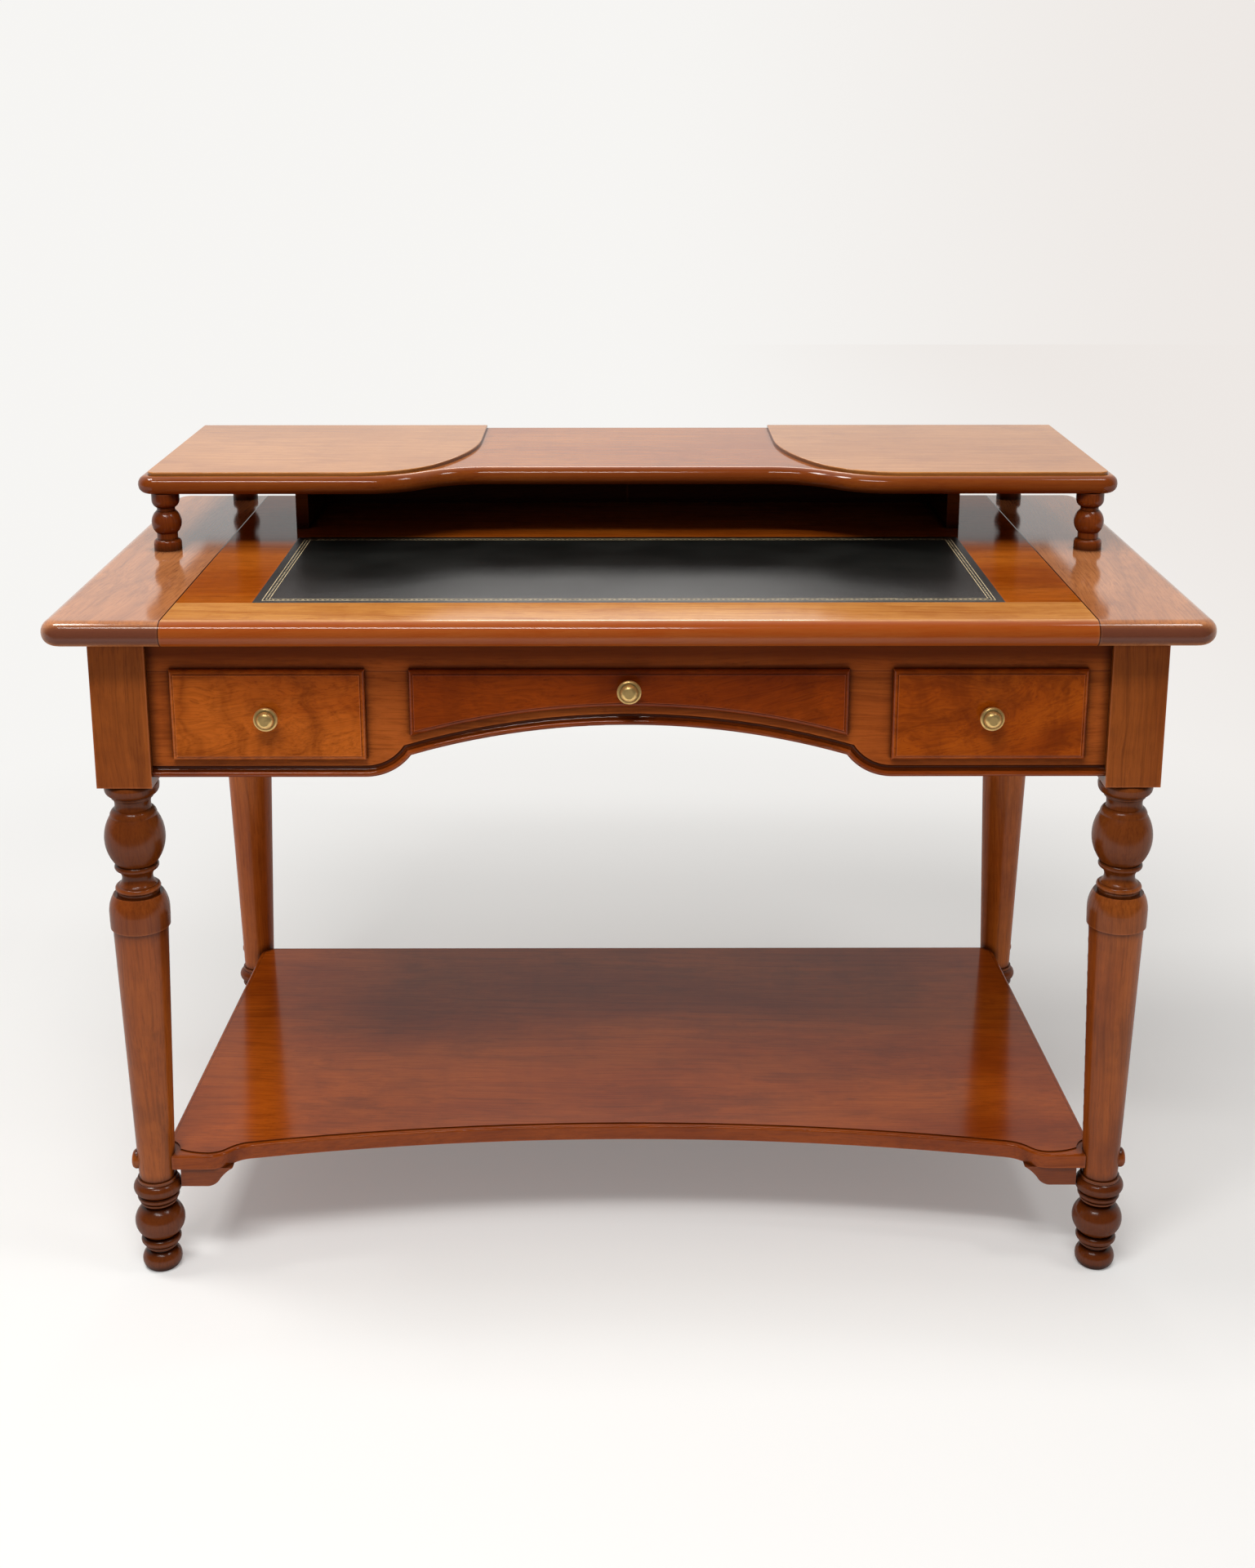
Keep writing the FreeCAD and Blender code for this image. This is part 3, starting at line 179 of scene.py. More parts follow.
def surround_tint(tree, vector, shade_begins, shade_full):
    rightward = ramp(tree, component(tree, vector, "X"), shade_begins, shade_full)
    return tint(tree, rightward, opaque(surround_colour), opaque(shaded_surround))


print("surround", surround_colour)

# %% [markdown]
# ## Floor
# Near the desk the floor is matt paper, which keeps the desk's shadow, with a little glow that
# stands for the light that paper passes on to itself. Further out it turns into the plain colour
# of the surround. A floor that glowed everywhere would lose the shadow, and a matt one everywhere
# would show its edge.

# %% Floor
floor_half_width = 8.0
paper_colour = (0.88, 0.875, 0.865)
paper_ends, surround_begins = 0.95, 1.9
paper_glow = 0.22
floor_dark_until, floor_bright_from = -2.0, -0.9
floor_shade_begins, floor_shade_full = 0.0, 2.2

floor_mesh = bmesh.new()
bmesh.ops.create_grid(floor_mesh, x_segments=1, y_segments=1, size=floor_half_width)
floor_data = bpy.data.meshes.new("studio_floor")
floor_mesh.to_mesh(floor_data)
floor_mesh.free()
floor = bpy.data.objects.new("studio_floor", floor_data)
bpy.context.collection.objects.link(floor)

paper, tree = new_material("studio_paper")
place = put(tree, "TexCoord").outputs["Object"]
distance = put(tree, "VectorMath", {0: place}, operation="LENGTH").outputs["Value"]
glowing = ramp(tree, distance, paper_ends, surround_begins, to_low=paper_glow)
fade = calculate(tree, "MULTIPLY", glowing, seen_directly(tree))
matt = put(tree, "BsdfDiffuse", {"Color": opaque(paper_colour)}).outputs[0]
level = room_brightness(tree, place, floor_dark_until, floor_bright_from)
glow_colour = surround_tint(tree, place, floor_shade_begins, floor_shade_full)
glow = put(tree, "Emission", {"Color": glow_colour, "Strength": level}).outputs[0]
finish_with(tree, put(tree, "MixShader", {0: fade, 1: matt, 2: glow}).outputs[0])
floor_data.materials.append(paper)
print("floor", 2 * floor_half_width, "m wide")

# %% [markdown]
# ## World
# The world plays two parts. The camera and reflections see the surround, while matt surfaces get
# less light from it than that, so the lamps can shape the desk.

# %% World
world_light = 0.30
world_light_colour = (1, 0.99, 0.975)
sky_dark_until, sky_bright_from = -0.35, 0.45
sky_shade_begins, sky_shade_full = -0.02, 0.34

world = bpy.data.worlds.new("studio")
world.use_nodes = True
world.node_tree.nodes.clear()
tree = world.node_tree
light = {"Color": opaque(world_light_colour), "Strength": world_light}
soft = put(tree, "Background", light).outputs[0]
sky = put(tree, "TexCoord").outputs["Generated"]
level = room_brightness(tree, sky, sky_dark_until, sky_bright_from)
wall_colour = surround_tint(tree, sky, sky_shade_begins, sky_shade_full)
white = put(tree, "Background", {"Color": wall_colour, "Strength": level}).outputs[0]
shown = put(tree, "MixShader", {0: seen_directly(tree), 1: soft, 2: white}).outputs[0]
put(tree, "OutputWorld", {"Surface": shown})
bpy.context.scene.world = world
print("world light", world_light)

# %% [markdown]
# ## Lamps
# The world alone would light the desk evenly and leave the turnings flat. So the key is a soft box
# high above the desk's left end, and a weaker one hangs above the right end. A wide fill high in
# front lights the drawer fronts and the floor. Seen in the polish it would whiten the whole edge
# of the top, so it is kept out of reflections, and a narrow strip beside it draws a thin highlight
# on the edge and the turnings instead. A lower lamp behind the desk gives the leather its sheen.

# %% Lamps
desk_middle = Vector((0, 0, 0.5))


def soft_box(name, place, width, height, power, colour, mirrored=True):
    lamp = bpy.data.lights.new(name, "AREA")
    lamp.shape = "RECTANGLE"
    lamp.size, lamp.size_y = width, height
    lamp.energy = power
    lamp.color = colour
    lamp_object = bpy.data.objects.new(name, lamp)
    lamp_object.location = place
    aim = (desk_middle - Vector(place)).to_track_quat("-Z", "Y")
    lamp_object.rotation_euler = aim.to_euler()
    lamp_object.visible_glossy = mirrored
    bpy.context.collection.objects.link(lamp_object)


soft_box("key_box", (-1.6, -0.1, 3.3), width=0.7, height=0.7, power=36, colour=(1, 0.99, 0.97))
soft_box("second_box", (1.4, -0.7, 3.2), width=0.6, height=0.6, power=14, colour=(1, 0.99, 0.98))
soft_box("fill_box", (-0.4, -2.0, 3.7), width=2.2, height=1.2, power=66,
         colour=(1, 0.995, 0.985), mirrored=False)
soft_box("strip_box", (-0.6, -1.9, 3.1), width=1.6, height=0.16, power=26,
         colour=(1, 0.995, 0.985))
soft_box("back_box", (0, 2.7, 2.4), width=1.1, height=0.6, power=11, colour=(1, 0.99, 0.97))

# %% [markdown]
# ## Shared effects
# Every board of the desk is the same timber cut another way. Its figure could be repeated in each
# material, but a node group is built once and placed in all of them, with its own values in each.

# %% Make a node group
def new_group(name, inputs, outputs):
    group = bpy.data.node_groups.new(name, "ShaderNodeTree")
    for label, kind, value in inputs:
        socket = group.interface.new_socket(label, in_out="INPUT", socket_type="NodeSocket" + kind)
        socket.default_value = value
    for label in outputs:
        group.interface.new_socket(label, in_out="OUTPUT", socket_type="NodeSocketFloat")
    entry = group.nodes.new("NodeGroupInput").outputs
    leave = group.nodes.new("NodeGroupOutput").inputs
    return group, entry, leave


print("groups so far:", len(bpy.data.node_groups))

# %% [markdown]
# ## The figure of the timber
# Cherry shows uneven growth rings, fine fibres and broader streaks along the board, tiny dark
# pores, a faint curl across the grain, cloudy patches, and smudges where it took the stain
# unevenly. All but the rings are one noise texture each, stretched along X, the direction of the
# grain. A wave texture would give rings of even width, so the rings are a noise read along the
# distance from the heart of the tree. A slow noise sways everything together.

# %% Timber figure
# For each effect: how often it repeats in a metre along and across the grain, detail, roughness.
stretched_noises = {
    "Fibres": (6, 430, 4, 0.65), "Streaks": (3, 75, 4, 0.6), "Curl": (48, 6, 3, 0.6),
    "Clouds": (3, 8, 4, 0.6), "Stains": (9, 16, 5, 0.65)}
pore_noise, sway_noise = (60, 1300, 1, 0.5), (1.7, 5, 4, 0.55)
pore_limits, ring_limits = (0.6, 0.72), (0.45, 0.78)
rings_a_metre, usual_waviness = 90, 0.05


def stretched(tree, vector, along_grain, across_grain, detail, roughness):
    size = (along_grain, across_grain, across_grain)
    scaled = put(tree, "Mapping", {"Vector": vector, "Scale": size}).outputs[0]
    noise = {"Vector": scaled, "Scale": 1, "Detail": detail, "Roughness": roughness}
    return put(tree, "TexNoise", noise).outputs


timber_figure, entry, leave = new_group(
    "timber_figure",
    [("Vector", "Vector", (0, 0, 0)), ("Ring Scale", "Float", rings_a_metre),
     ("Waviness", "Float", usual_waviness)],
    ["Rings", "Fibres", "Streaks", "Pores", "Curl", "Clouds", "Stains"])
tree = timber_figure
sway = stretched(tree, entry["Vector"], *sway_noise)["Color"]
centred = put(tree, "VectorMath", {0: sway, 1: (0.5, 0.5, 0.5)}, operation="SUBTRACT").outputs[0]
bent = put(tree, "VectorMath", {0: centred, "Scale": entry["Waviness"]}, operation="SCALE").outputs[0]
warped = put(tree, "VectorMath", {0: entry["Vector"], 1: bent}, operation="ADD").outputs[0]
for label, shape in stretched_noises.items():
    tree.links.new(stretched(tree, warped, *shape)["Fac"], leave[label])
pores = ramp(tree, stretched(tree, warped, *pore_noise)["Fac"], *pore_limits)
tree.links.new(pores, leave["Pores"])
print("noises in the figure:", len(stretched_noises) + 2)

# %% [markdown]
# The rings follow the distance from the tree's heart, which is the length of the vector once its
# part along the grain is taken away.

# %% Growth rings
across = put(tree, "VectorMath", {0: warped, 1: (0, 1, 1)}, operation="MULTIPLY").outputs[0]
radius = put(tree, "VectorMath", {0: across}, operation="LENGTH").outputs["Value"]
year = calculate(tree, "MULTIPLY", radius, entry["Ring Scale"])
ring_noise = {"W": year, "Scale": 1, "Detail": 3, "Roughness": 0.6}
rings = put(tree, "TexNoise", ring_noise, noise_dimensions="1D").outputs["Fac"]
tree.links.new(ramp(tree, rings, *ring_limits), leave["Rings"])
print("group", timber_figure.name, "with", len(tree.nodes), "nodes")

# %% [markdown]
# ## Wear, wax, painted shade and painted highlight
# A polished antique is dark where dirt and wax gather and pale where hands and cloths rub. Here the
# dark of the hollows is also painted shade, in creases and beside neighbouring parts, and the pale
# of the edges is also a painted highlight. Both could be painted by hand, but the ambient occlusion
# node measures them on any shape: how much of the view outward is blocked, by the piece or its
# neighbours, gives the hollows, and how much of the view inward is open gives the edges.

# %% Wear, wax, painted shade and painted highlight
# Hollows are looked for three times as far from the surface as edges are.
usual_reach, hollow_reach_factor = 0.004, 3
ray_samples = 6
edge_limits, hollow_limits = (0.22, 0.65), (0.04, 0.44)


def hidden_share(tree, distance, **settings):
    look = put(tree, "AmbientOcclusion", {"Distance": distance}, samples=ray_samples, **settings)
    return calculate(tree, "SUBTRACT", 1, look.outputs["AO"])


wear_shade_and_highlight, entry, leave = new_group("wear_shade_and_highlight", [("Reach", "Float", usual_reach)], ["Edges", "Hollows"])
# Pale edges are rubbed wear and a painted highlight; dark hollows, which also see neighbouring parts,
# are wax and painted shade.
edges = hidden_share(wear_shade_and_highlight, entry["Reach"], inside=True, only_local=True)
hollows = hidden_share(wear_shade_and_highlight, calculate(wear_shade_and_highlight, "MULTIPLY", entry["Reach"], hollow_reach_factor))
wear_shade_and_highlight.links.new(ramp(wear_shade_and_highlight, edges, *edge_limits), leave["Edges"])
wear_shade_and_highlight.links.new(ramp(wear_shade_and_highlight, hollows, *hollow_limits), leave["Hollows"])
print("group", wear_shade_and_highlight.name, "with", len(wear_shade_and_highlight.nodes), "nodes")

# %% [markdown]
# ## Which way the grain runs
# The figure's grain runs along X, so a board whose grain runs another way turns its coordinates
# first. A board is never cut quite parallel to the tree, and leaning the coordinates a few degrees
# makes the rings run out of its face in long arches, as they do in sawn wood.

# %% Grain
grain_turns = {"X": Matrix.Identity(3), "Y": Matrix.Rotation(math.radians(-90), 3, "Z"),
               "Z": Matrix.Rotation(math.radians(90), 3, "Y")}
grain_axes = {"X": (1, 0, 0), "Y": (0, 1, 0), "Z": (0, 0, 1)}


def figure_of(tree, vector, grain, heart=(0, 0, 0), lean=(0, 0), waviness=usual_waviness):
    """The timber's masks. heart is the tree's middle beside the board, lean a slope in degrees."""
    up, sideways = (math.radians(angle) for angle in lean)
    tilt = Matrix.Rotation(up, 3, "Y") @ Matrix.Rotation(sideways, 3, "Z")
    turn = (tilt @ grain_turns[grain]).to_euler()
    placed = {"Vector": vector, "Location": heart, "Rotation": turn}
    turned = put(tree, "Mapping", placed).outputs[0]
    wood = {"Vector": turned, "Waviness": waviness}
    return put(tree, "Group", wood, node_tree=timber_figure).outputs


print("timber directions", sorted(grain_turns))

# %% [markdown]
# ## Stained cherry
# The desk's timber is stained red-brown, and a stain is three shades: clouds choose between the
# middle and the light one, and rings, fibres and pores pull towards the dark one. End grain drinks
# more stain, so a face that looks along the grain is darker. Some boards also get painted shade on
# the faces that look to the front, and some are darker in bands by height, one of which is a
# painted shadow under the overhang.

# %% Layers of the stain
cloud_limits, fibre_limits, streak_limits = (0.32, 0.68), (0.4, 0.72), (0.48, 0.8)
curl_limits, smudge_limits = (0.42, 0.72), (0.48, 0.7)
end_grain_limits, painted_front_shade_limits = (0.45, 0.95), (0.05, 0.5)
fibre_depth, pore_depth = 0.42, 0.3
band_outside, band_inside = 0.012, 0.004


def figure_layers(tree, parts, ring_depth, streak_depth, curl, smudges):
    return [(parts["Rings"], ring_depth),
            (ramp(tree, parts["Fibres"], *fibre_limits), fibre_depth),
            (ramp(tree, parts["Streaks"], *streak_limits), streak_depth),
            (parts["Pores"], pore_depth),
            (ramp(tree, parts["Curl"], *curl_limits), curl),
            (ramp(tree, parts["Stains"], *smudge_limits), smudges)]


def face_layers(tree, normal, grain, end_grain, painted_front_shade):
    facing = calculate(tree, "ABSOLUTE", along(tree, normal, grain_axes[grain]))
    layers = [(ramp(tree, facing, *end_grain_limits), end_grain)]
    # Faces that look to the front are pulled towards the dark shade: painted shade.
    if painted_front_shade:
        forward = along(tree, normal, (0, -1, 0))
        layers.append((ramp(tree, forward, *painted_front_shade_limits), painted_front_shade))
    return layers


def band_layers(tree, height, bands):
    layers = []
    for low, high, depth in bands:
        above = ramp(tree, height, low - band_outside, low + band_inside)
        below = ramp(tree, height, high + band_outside, high - band_inside)
        layers.append((calculate(tree, "MULTIPLY", above, below), depth))
    return layers


print("depth of the fibres", fibre_depth, "and of the pores", pore_depth)

# %% [markdown]
# Two boards that are glued side by side show a fine dark line of old wax. The boards of the model
# are face to face, so the line is a colour on both of them: a seam is an axis, a position on it,
# half a width and a depth.

# %% Wax in seams
# The dark wax colour also paints shade in the hollows, and the strength says how far the hollows go
# towards it.
hollow_wax_and_shade_strength, wax_and_shade_darkness = 0.8, 0.3
seam_inside, seam_outside = 0.5, 1.5


def wax_seams(tree, place, seams, colour, wax_and_shade):
    for axis, position, half_width, depth in seams:
        offset = calculate(tree, "SUBTRACT", component(tree, place, axis), position)
        away = calculate(tree, "ABSOLUTE", offset)
        line = ramp(tree, away, half_width * seam_outside, half_width * seam_inside)
        colour = masked(tree, line, depth, colour, wax_and_shade)
    return colour


print("wax has", wax_and_shade_darkness, "of the dark stain's brightness")

# %% [markdown]
# ## Polished cherry
# Smooth wood would shine too, but its reflection would follow the relief of pores and fibres. So
# the polish is the shader's coat, a clear layer with its own sharper reflection. The wood's own
# reflection is set to none, because two mirrors on top of each other whiten a dark stain at low
# angles. Little polish reaches the faces that look down.

# %% Polished cherry
underside_polish = 0.25
underside_ends, polish_full = -0.75, 0.1
wood_roughness, fibre_roughness = 0.4, 0.2
fibre_relief, relief_strength, relief_depth = 0.4, 0.2, 0.0001
# How much brighter and paler than the light shade a rubbed edge is, with its painted highlight.
rub_highlight_brighter, rub_highlight_paler = 1.3, 0.04


def polished_cherry(name, grain, stain, heart=(0, 0.02, 0.11), lean=(4, 2),
                    waviness=usual_waviness, ring_depth=0.22, streak_depth=0.22, curl=0.08,
                    smudges=0.3, end_grain=0.6, painted_front_shade=0.0, bands=(), seams=(), rub_and_highlight=0.25,
                    reach=usual_reach, polish=0.6, gloss=0.11):
    """A board of one stain, which is its dark, middle and light shade."""
    material, tree = new_material(name)
    coordinates = put(tree, "TexCoord").outputs
    place, normal = coordinates["Object"], coordinates["Normal"]
    parts = figure_of(tree, place, grain, heart, lean, waviness)
    dark, middle, light = (opaque(shade) for shade in stain)
    wax_and_shade = opaque(stain[0], wax_and_shade_darkness)
    pale = opaque(stain[2], rub_highlight_brighter, rub_highlight_paler)
    colour = tint(tree, ramp(tree, parts["Clouds"], *cloud_limits), middle, light)
    layers = figure_layers(tree, parts, ring_depth, streak_depth, curl, smudges)
    # This includes painted shade on the faces that look to the front.
    layers += face_layers(tree, normal, grain, end_grain, painted_front_shade)
    if bands:
        layers += band_layers(tree, component(tree, place, "Z"), bands)
    for mask, depth in layers:
        colour = masked(tree, mask, depth, colour, dark)
    wear_and_light_masks = put(tree, "Group", {"Reach": reach}, node_tree=wear_shade_and_highlight).outputs
    # Edges turn pale: rubbed wear and a painted highlight.
    colour = masked(tree, wear_and_light_masks["Edges"], rub_and_highlight, colour, pale)
    # Hollows and the sides of neighbouring parts turn towards the wax colour: wax and painted shade.
    colour = masked(tree, wear_and_light_masks["Hollows"], hollow_wax_and_shade_strength, colour, wax_and_shade)
    colour = wax_seams(tree, place, seams, colour, wax_and_shade)
    fibres = calculate(tree, "MULTIPLY", parts["Fibres"], fibre_relief)
    relief = calculate(tree, "SUBTRACT", fibres, parts["Pores"])
    bump = {"Height": relief, "Strength": relief_strength, "Distance": relief_depth}
    rough = calculate(tree, "MULTIPLY_ADD", parts["Fibres"], fibre_roughness, wood_roughness)
    upward = along(tree, normal, (0, 0, 1))
    coat = ramp(tree, upward, underside_ends, polish_full, polish * underside_polish, polish)
    finish_with(tree, put(tree, "BsdfPrincipled", {
        "Base Color": colour, "Roughness": rough, "Normal": put(tree, "Bump", bump).outputs[0],
        "Coat Weight": coat, "Coat Roughness": gloss, "Specular IOR Level": 0.0}).outputs[0])
    return material


def dress(material, names):
    for name in names:
        node = nodes[name]
        for material_slot in node.material_slots:
            material_slot.material = material


print("underside polish", underside_polish)

# %% [markdown]
# ## The boards of the top
# The end boards run front to back, and their front edges are end grain, which is why they are
# nearly purple beside the bright front rail. The rail, stiles and rear board run left to right.
# They could share one finish, but the seams would hardly show then. The heart of the tree is set
# outside each board, so the rings cross it as wide arches.

# %% Top boards
end_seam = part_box("left_end_board")[1].x
rail_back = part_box("top_front_rail")[1].y
end_seam_half_width, end_seam_depth = 0.0007, 1
rail_seam_half_width, rail_seam_depth = 0.0006, 0.5
end_seams = [("X", side * end_seam, end_seam_half_width, end_seam_depth) for side in (-1, 1)]
rail_seams = end_seams + [("Y", rail_back, rail_seam_half_width, rail_seam_depth)]

end_stain = ((0.12, 0.034, 0.018), (0.39, 0.135, 0.042), (0.50, 0.195, 0.070))
end_wood = polished_cherry("cherry_end_boards", "Y", end_stain, heart=(0.3, 0.05, 0.55),
                           lean=(3, 4), end_grain=0.95, seams=end_seams, polish=1)
dress(end_wood, ["left_end_board", "right_end_board"])

# The rail's front edge gets painted shade.
rail_stain = ((0.25, 0.036, 0.001), (0.56, 0.23, 0.050), (0.66, 0.31, 0.085))
rail_wood = polished_cherry("cherry_front_rail", "X", rail_stain, heart=(0.1, 0.42, -0.9),
                            lean=(2, 1), painted_front_shade=0.88, seams=rail_seams, polish=1)
dress(rail_wood, ["top_front_rail"])

# The stiles and rear board are darker than the rail, partly as painted shade from the gallery above
# them.
top_stain_and_shade = ((0.10, 0.015, 0.001), (0.27, 0.052, 0.003), (0.42, 0.105, 0.009))
top_wood_and_shade = polished_cherry("cherry_top", "X", top_stain_and_shade, heart=(0.4, 0.1, -0.9), lean=(3, 2),
                           seams=end_seams, polish=0.55)
dress(top_wood_and_shade, ["left_top_stile", "right_top_stile", "top_rear_board"])
print("seams of the top at x =", [round(seam[1], 4) for seam in end_seams])

# %% [markdown]
# ## Gallery
# The raised tablets are the palest wood of the desk, and the shelf under them shows its red front
# edge, so one board gets two looks: pale above and darker, as painted shade, wherever it faces the
# front. The compartment's sides stand in the shade, and their near-black colour is painted shade;
# its backs get painted shade on the side that faces the front.

# %% Gallery boards
tablet_stain = ((0.24, 0.065, 0.012), (0.44, 0.165, 0.036), (0.54, 0.225, 0.060))
tablet_wood = polished_cherry("cherry_tablets", "X", tablet_stain, heart=(0.2, 0.3, -1.02),
                              lean=(2, 3), streak_depth=0.3, polish=0.85)
dress(tablet_wood, ["left_gallery_tablet", "right_gallery_tablet"])

# The shelf's front edge gets painted shade.
gallery_stain = ((0.13, 0.020, 0.002), (0.35, 0.092, 0.012), (0.47, 0.15, 0.022))
gallery_wood = polished_cherry("cherry_gallery", "X", gallery_stain, heart=(0.0, 0.2, -1.0),
                               lean=(3, 2), painted_front_shade=0.77, polish=0.85)
dress(gallery_wood, ["gallery_shelf"])

# The compartment's sides are coloured nearly black: painted shade.
case_painted_shade_stain = ((0.02, 0.003, 0.0005), (0.07, 0.009, 0.0007), (0.10, 0.015, 0.001))
case_painted_shade_wood = polished_cherry("cherry_compartment_painted_shade", "X", case_painted_shade_stain)
dress(case_painted_shade_wood, ["left_gallery_side", "right_gallery_side"])

# The backs get painted shade on the side that faces the front.
back_stain = ((0.02, 0.003, 0.0005), (0.24, 0.046, 0.005), (0.32, 0.070, 0.009))
back_wood = polished_cherry("cherry_gallery_backs", "X", back_stain, painted_front_shade=0.85, polish=0.5)
dress(back_wood, ["left_gallery_back", "right_gallery_back"])
print("gallery boards dressed")

# %% [markdown]
# ## Aprons and shelf
# The front apron is darker and redder than the top, and darkest in a band of painted shadow along
# its upper edge, under the overhang. The bead below it is the glossiest wood of the desk. The lower
# shelf is broad and streaky, and a little less polished than the top, because it is wiped less
# often. Each piece could have one wood and one gloss, but it is their small differences that make a
# desk look old.

# %% Aprons, bead, shelf and brackets
apron_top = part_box("front_apron_board")[1].z
apron_seam_half_width, apron_seam_depth = 0.0005, 0.6
apron_seam = ("Z", apron_top, apron_seam_half_width, apron_seam_depth)
# A band of painted shadow under the overhang of the top.
overhang_shadow_band = (0.722, 0.76, 0.85)

apron_stain = ((0.10, 0.018, 0.003), (0.35, 0.074, 0.010), (0.44, 0.106, 0.016))
apron_wood = polished_cherry("cherry_apron", "X", apron_stain, heart=(0.2, 0.36, -0.55),
                             lean=(1, 2), bands=[overhang_shadow_band], seams=[apron_seam])
dress(apron_wood, ["front_apron_board", "front_top_rail", "left_side_apron",
                                  "right_side_apron", "rear_apron"])

bead_stain = ((0.08, 0.011, 0.001), (0.19, 0.030, 0.003), (0.27, 0.052, 0.005))
bead_wood = polished_cherry("cherry_bead", "X", bead_stain, gloss=0.07, polish=1)
dress(bead_wood, ["apron_bead_left", "apron_bead_arch", "apron_bead_right"])

# The shelf's front edge gets a little painted shade.
shelf_stain = ((0.09, 0.013, 0.001), (0.24, 0.038, 0.002), (0.36, 0.072, 0.005))
shelf_wood = polished_cherry("cherry_shelf", "X", shelf_stain, heart=(0.2, 0.12, -0.35),
                             lean=(2, 1), streak_depth=0.3, painted_front_shade=0.3, polish=0.5, gloss=0.12)
dress(shelf_wood, ["lower_shelf"])

bracket_stain = ((0.08, 0.014, 0.002), (0.15, 0.027, 0.003), (0.20, 0.040, 0.005))
bracket_wood = polished_cherry("cherry_brackets", "X", bracket_stain)
dress(bracket_wood, ["left_shelf_bracket", "right_shelf_bracket"])
print("apron seam at z =", round(apron_top, 4))

# %% [markdown]
# ## Drawer fronts
# The drawer fronts are cut from figured wood. Their smudges and curl are strong, their grain leans
# across the face, and the edges of the raised field are rubbed pale, which also paints a thin
# highlight on them. The timber figure that all boards share can do this too, when it is leaned and
# swayed further, so no second one is made. The three fronts come from different boards: an orange
# one on the left, a redder one on the right and a dark one between.

# %% Drawer fronts
# Full-strength rubbing paints a thin highlight on the field's edges as well as wear.
flame = {"lean": (9, 10), "waviness": 0.2, "ring_depth": 0.25, "streak_depth": 0.25,
         "smudges": 0.5, "rub_and_highlight": 1, "reach": 0.0018, "polish": 0.8}

left_stain = ((0.09, 0.012, 0.001), (0.32, 0.054, 0.003), (0.50, 0.115, 0.011))
left_wood = polished_cherry("cherry_flame_left", "X", left_stain, heart=(0.56, 0.33, -0.62),
                            curl=0.5, **flame)
dress(left_wood, ["left_drawer_front"])

right_stain = ((0.09, 0.010, 0.001), (0.27, 0.040, 0.001), (0.42, 0.085, 0.004))
right_wood = polished_cherry("cherry_flame_right", "X", right_stain, heart=(0.5, 0.33, -0.62),
                             curl=0.4, **flame)
dress(right_wood, ["right_drawer_front"])

centre_stain = ((0.06, 0.008, 0.001), (0.18, 0.024, 0.001), (0.29, 0.047, 0.002))
centre_wood = polished_cherry("cherry_flame_centre", "X", centre_stain, heart=(0.1, 0.33, -0.58),
                              lean=(7, 8), waviness=0.18, curl=0.18, smudges=0.45, rub_and_highlight=1,
                              reach=0.0018, polish=0.8)
dress(centre_wood, ["centre_drawer_front"])
print("drawer fronts dressed")

# %% [markdown]
# ## Turned work
# Legs and balusters are turned from upright squares, so their grain runs up the piece. The ball
# under each square head, the shoulder, the head and the foot are darker. These could be materials
# of their own, but bands by height darken all four legs alike and fade softly. A band is a lowest
# height, a highest height and a depth. The legs' polish is softer than the top's.

# %% Legs, balusters and buttons
foot_band = (0.0, 0.112, 0.8)
shoulder_band = (0.412, 0.458, 0.3)
ball_band = (0.47, 0.575, 0.7)
head_band = (0.585, 0.8, 0.25)
leg_bands = [foot_band, shoulder_band, ball_band, head_band]

leg_stain = ((0.07, 0.013, 0.002), (0.24, 0.050, 0.006), (0.37, 0.092, 0.013))
leg_wood = polished_cherry("cherry_legs", "Z", leg_stain, heart=(0.1, 0.31, 0.60), lean=(1, 1),
                           streak_depth=0.12, bands=leg_bands, rub_and_highlight=0.5, gloss=0.2)
dress(leg_wood, ["front_left_leg", "front_right_leg", "bolt_buttons"])

# The rear legs are lighter than the front ones: painted light.
rear_leg_stain_and_light = ((0.12, 0.022, 0.003), (0.40, 0.086, 0.010), (0.54, 0.140, 0.018))
rear_leg_wood_and_light = polished_cherry("cherry_rear_legs", "Z", rear_leg_stain_and_light, heart=(0.1, 0.31, 0.60),
                                lean=(1, 1), bands=leg_bands, polish=0.5, gloss=0.23)
dress(rear_leg_wood_and_light, ["rear_left_leg", "rear_right_leg"])

baluster_stain = ((0.05, 0.008, 0.001), (0.14, 0.025, 0.003), (0.24, 0.050, 0.006))
baluster_wood = polished_cherry("cherry_balusters", "Z", baluster_stain, rub_and_highlight=0.5, polish=0.75,
                                gloss=0.2)
dress(baluster_wood, ["front_left_baluster", "front_right_baluster",
                                     "rear_left_baluster", "rear_right_baluster"])
print("bands on a leg", len(leg_bands))

# %% [markdown]
# ## Unpolished wood inside
# Drawer sides, backs and bottoms, the runners and the panel under the leather are plain pale wood
# without stain or polish. They could be one flat tan, but an open drawer shows them well, so they
# get the same figure with little contrast, no coat and a rougher relief.

# %% Pale wood
plain_dark, plain_light = (0.45, 0.28, 0.135), (0.60, 0.42, 0.23)
plain_rings, plain_fibres = (0.36, 0.22, 0.10), (0.42, 0.27, 0.13)
# Grime and painted shade in the hollows and beside neighbouring parts.
plain_grime_and_shade = (0.16, 0.09, 0.04)
plain_figure_depth, plain_grime_and_shade_depth = 0.35, 0.5
plain_roughness = 0.68
plain_relief_strength, plain_relief_depth = 0.5, 0.0003


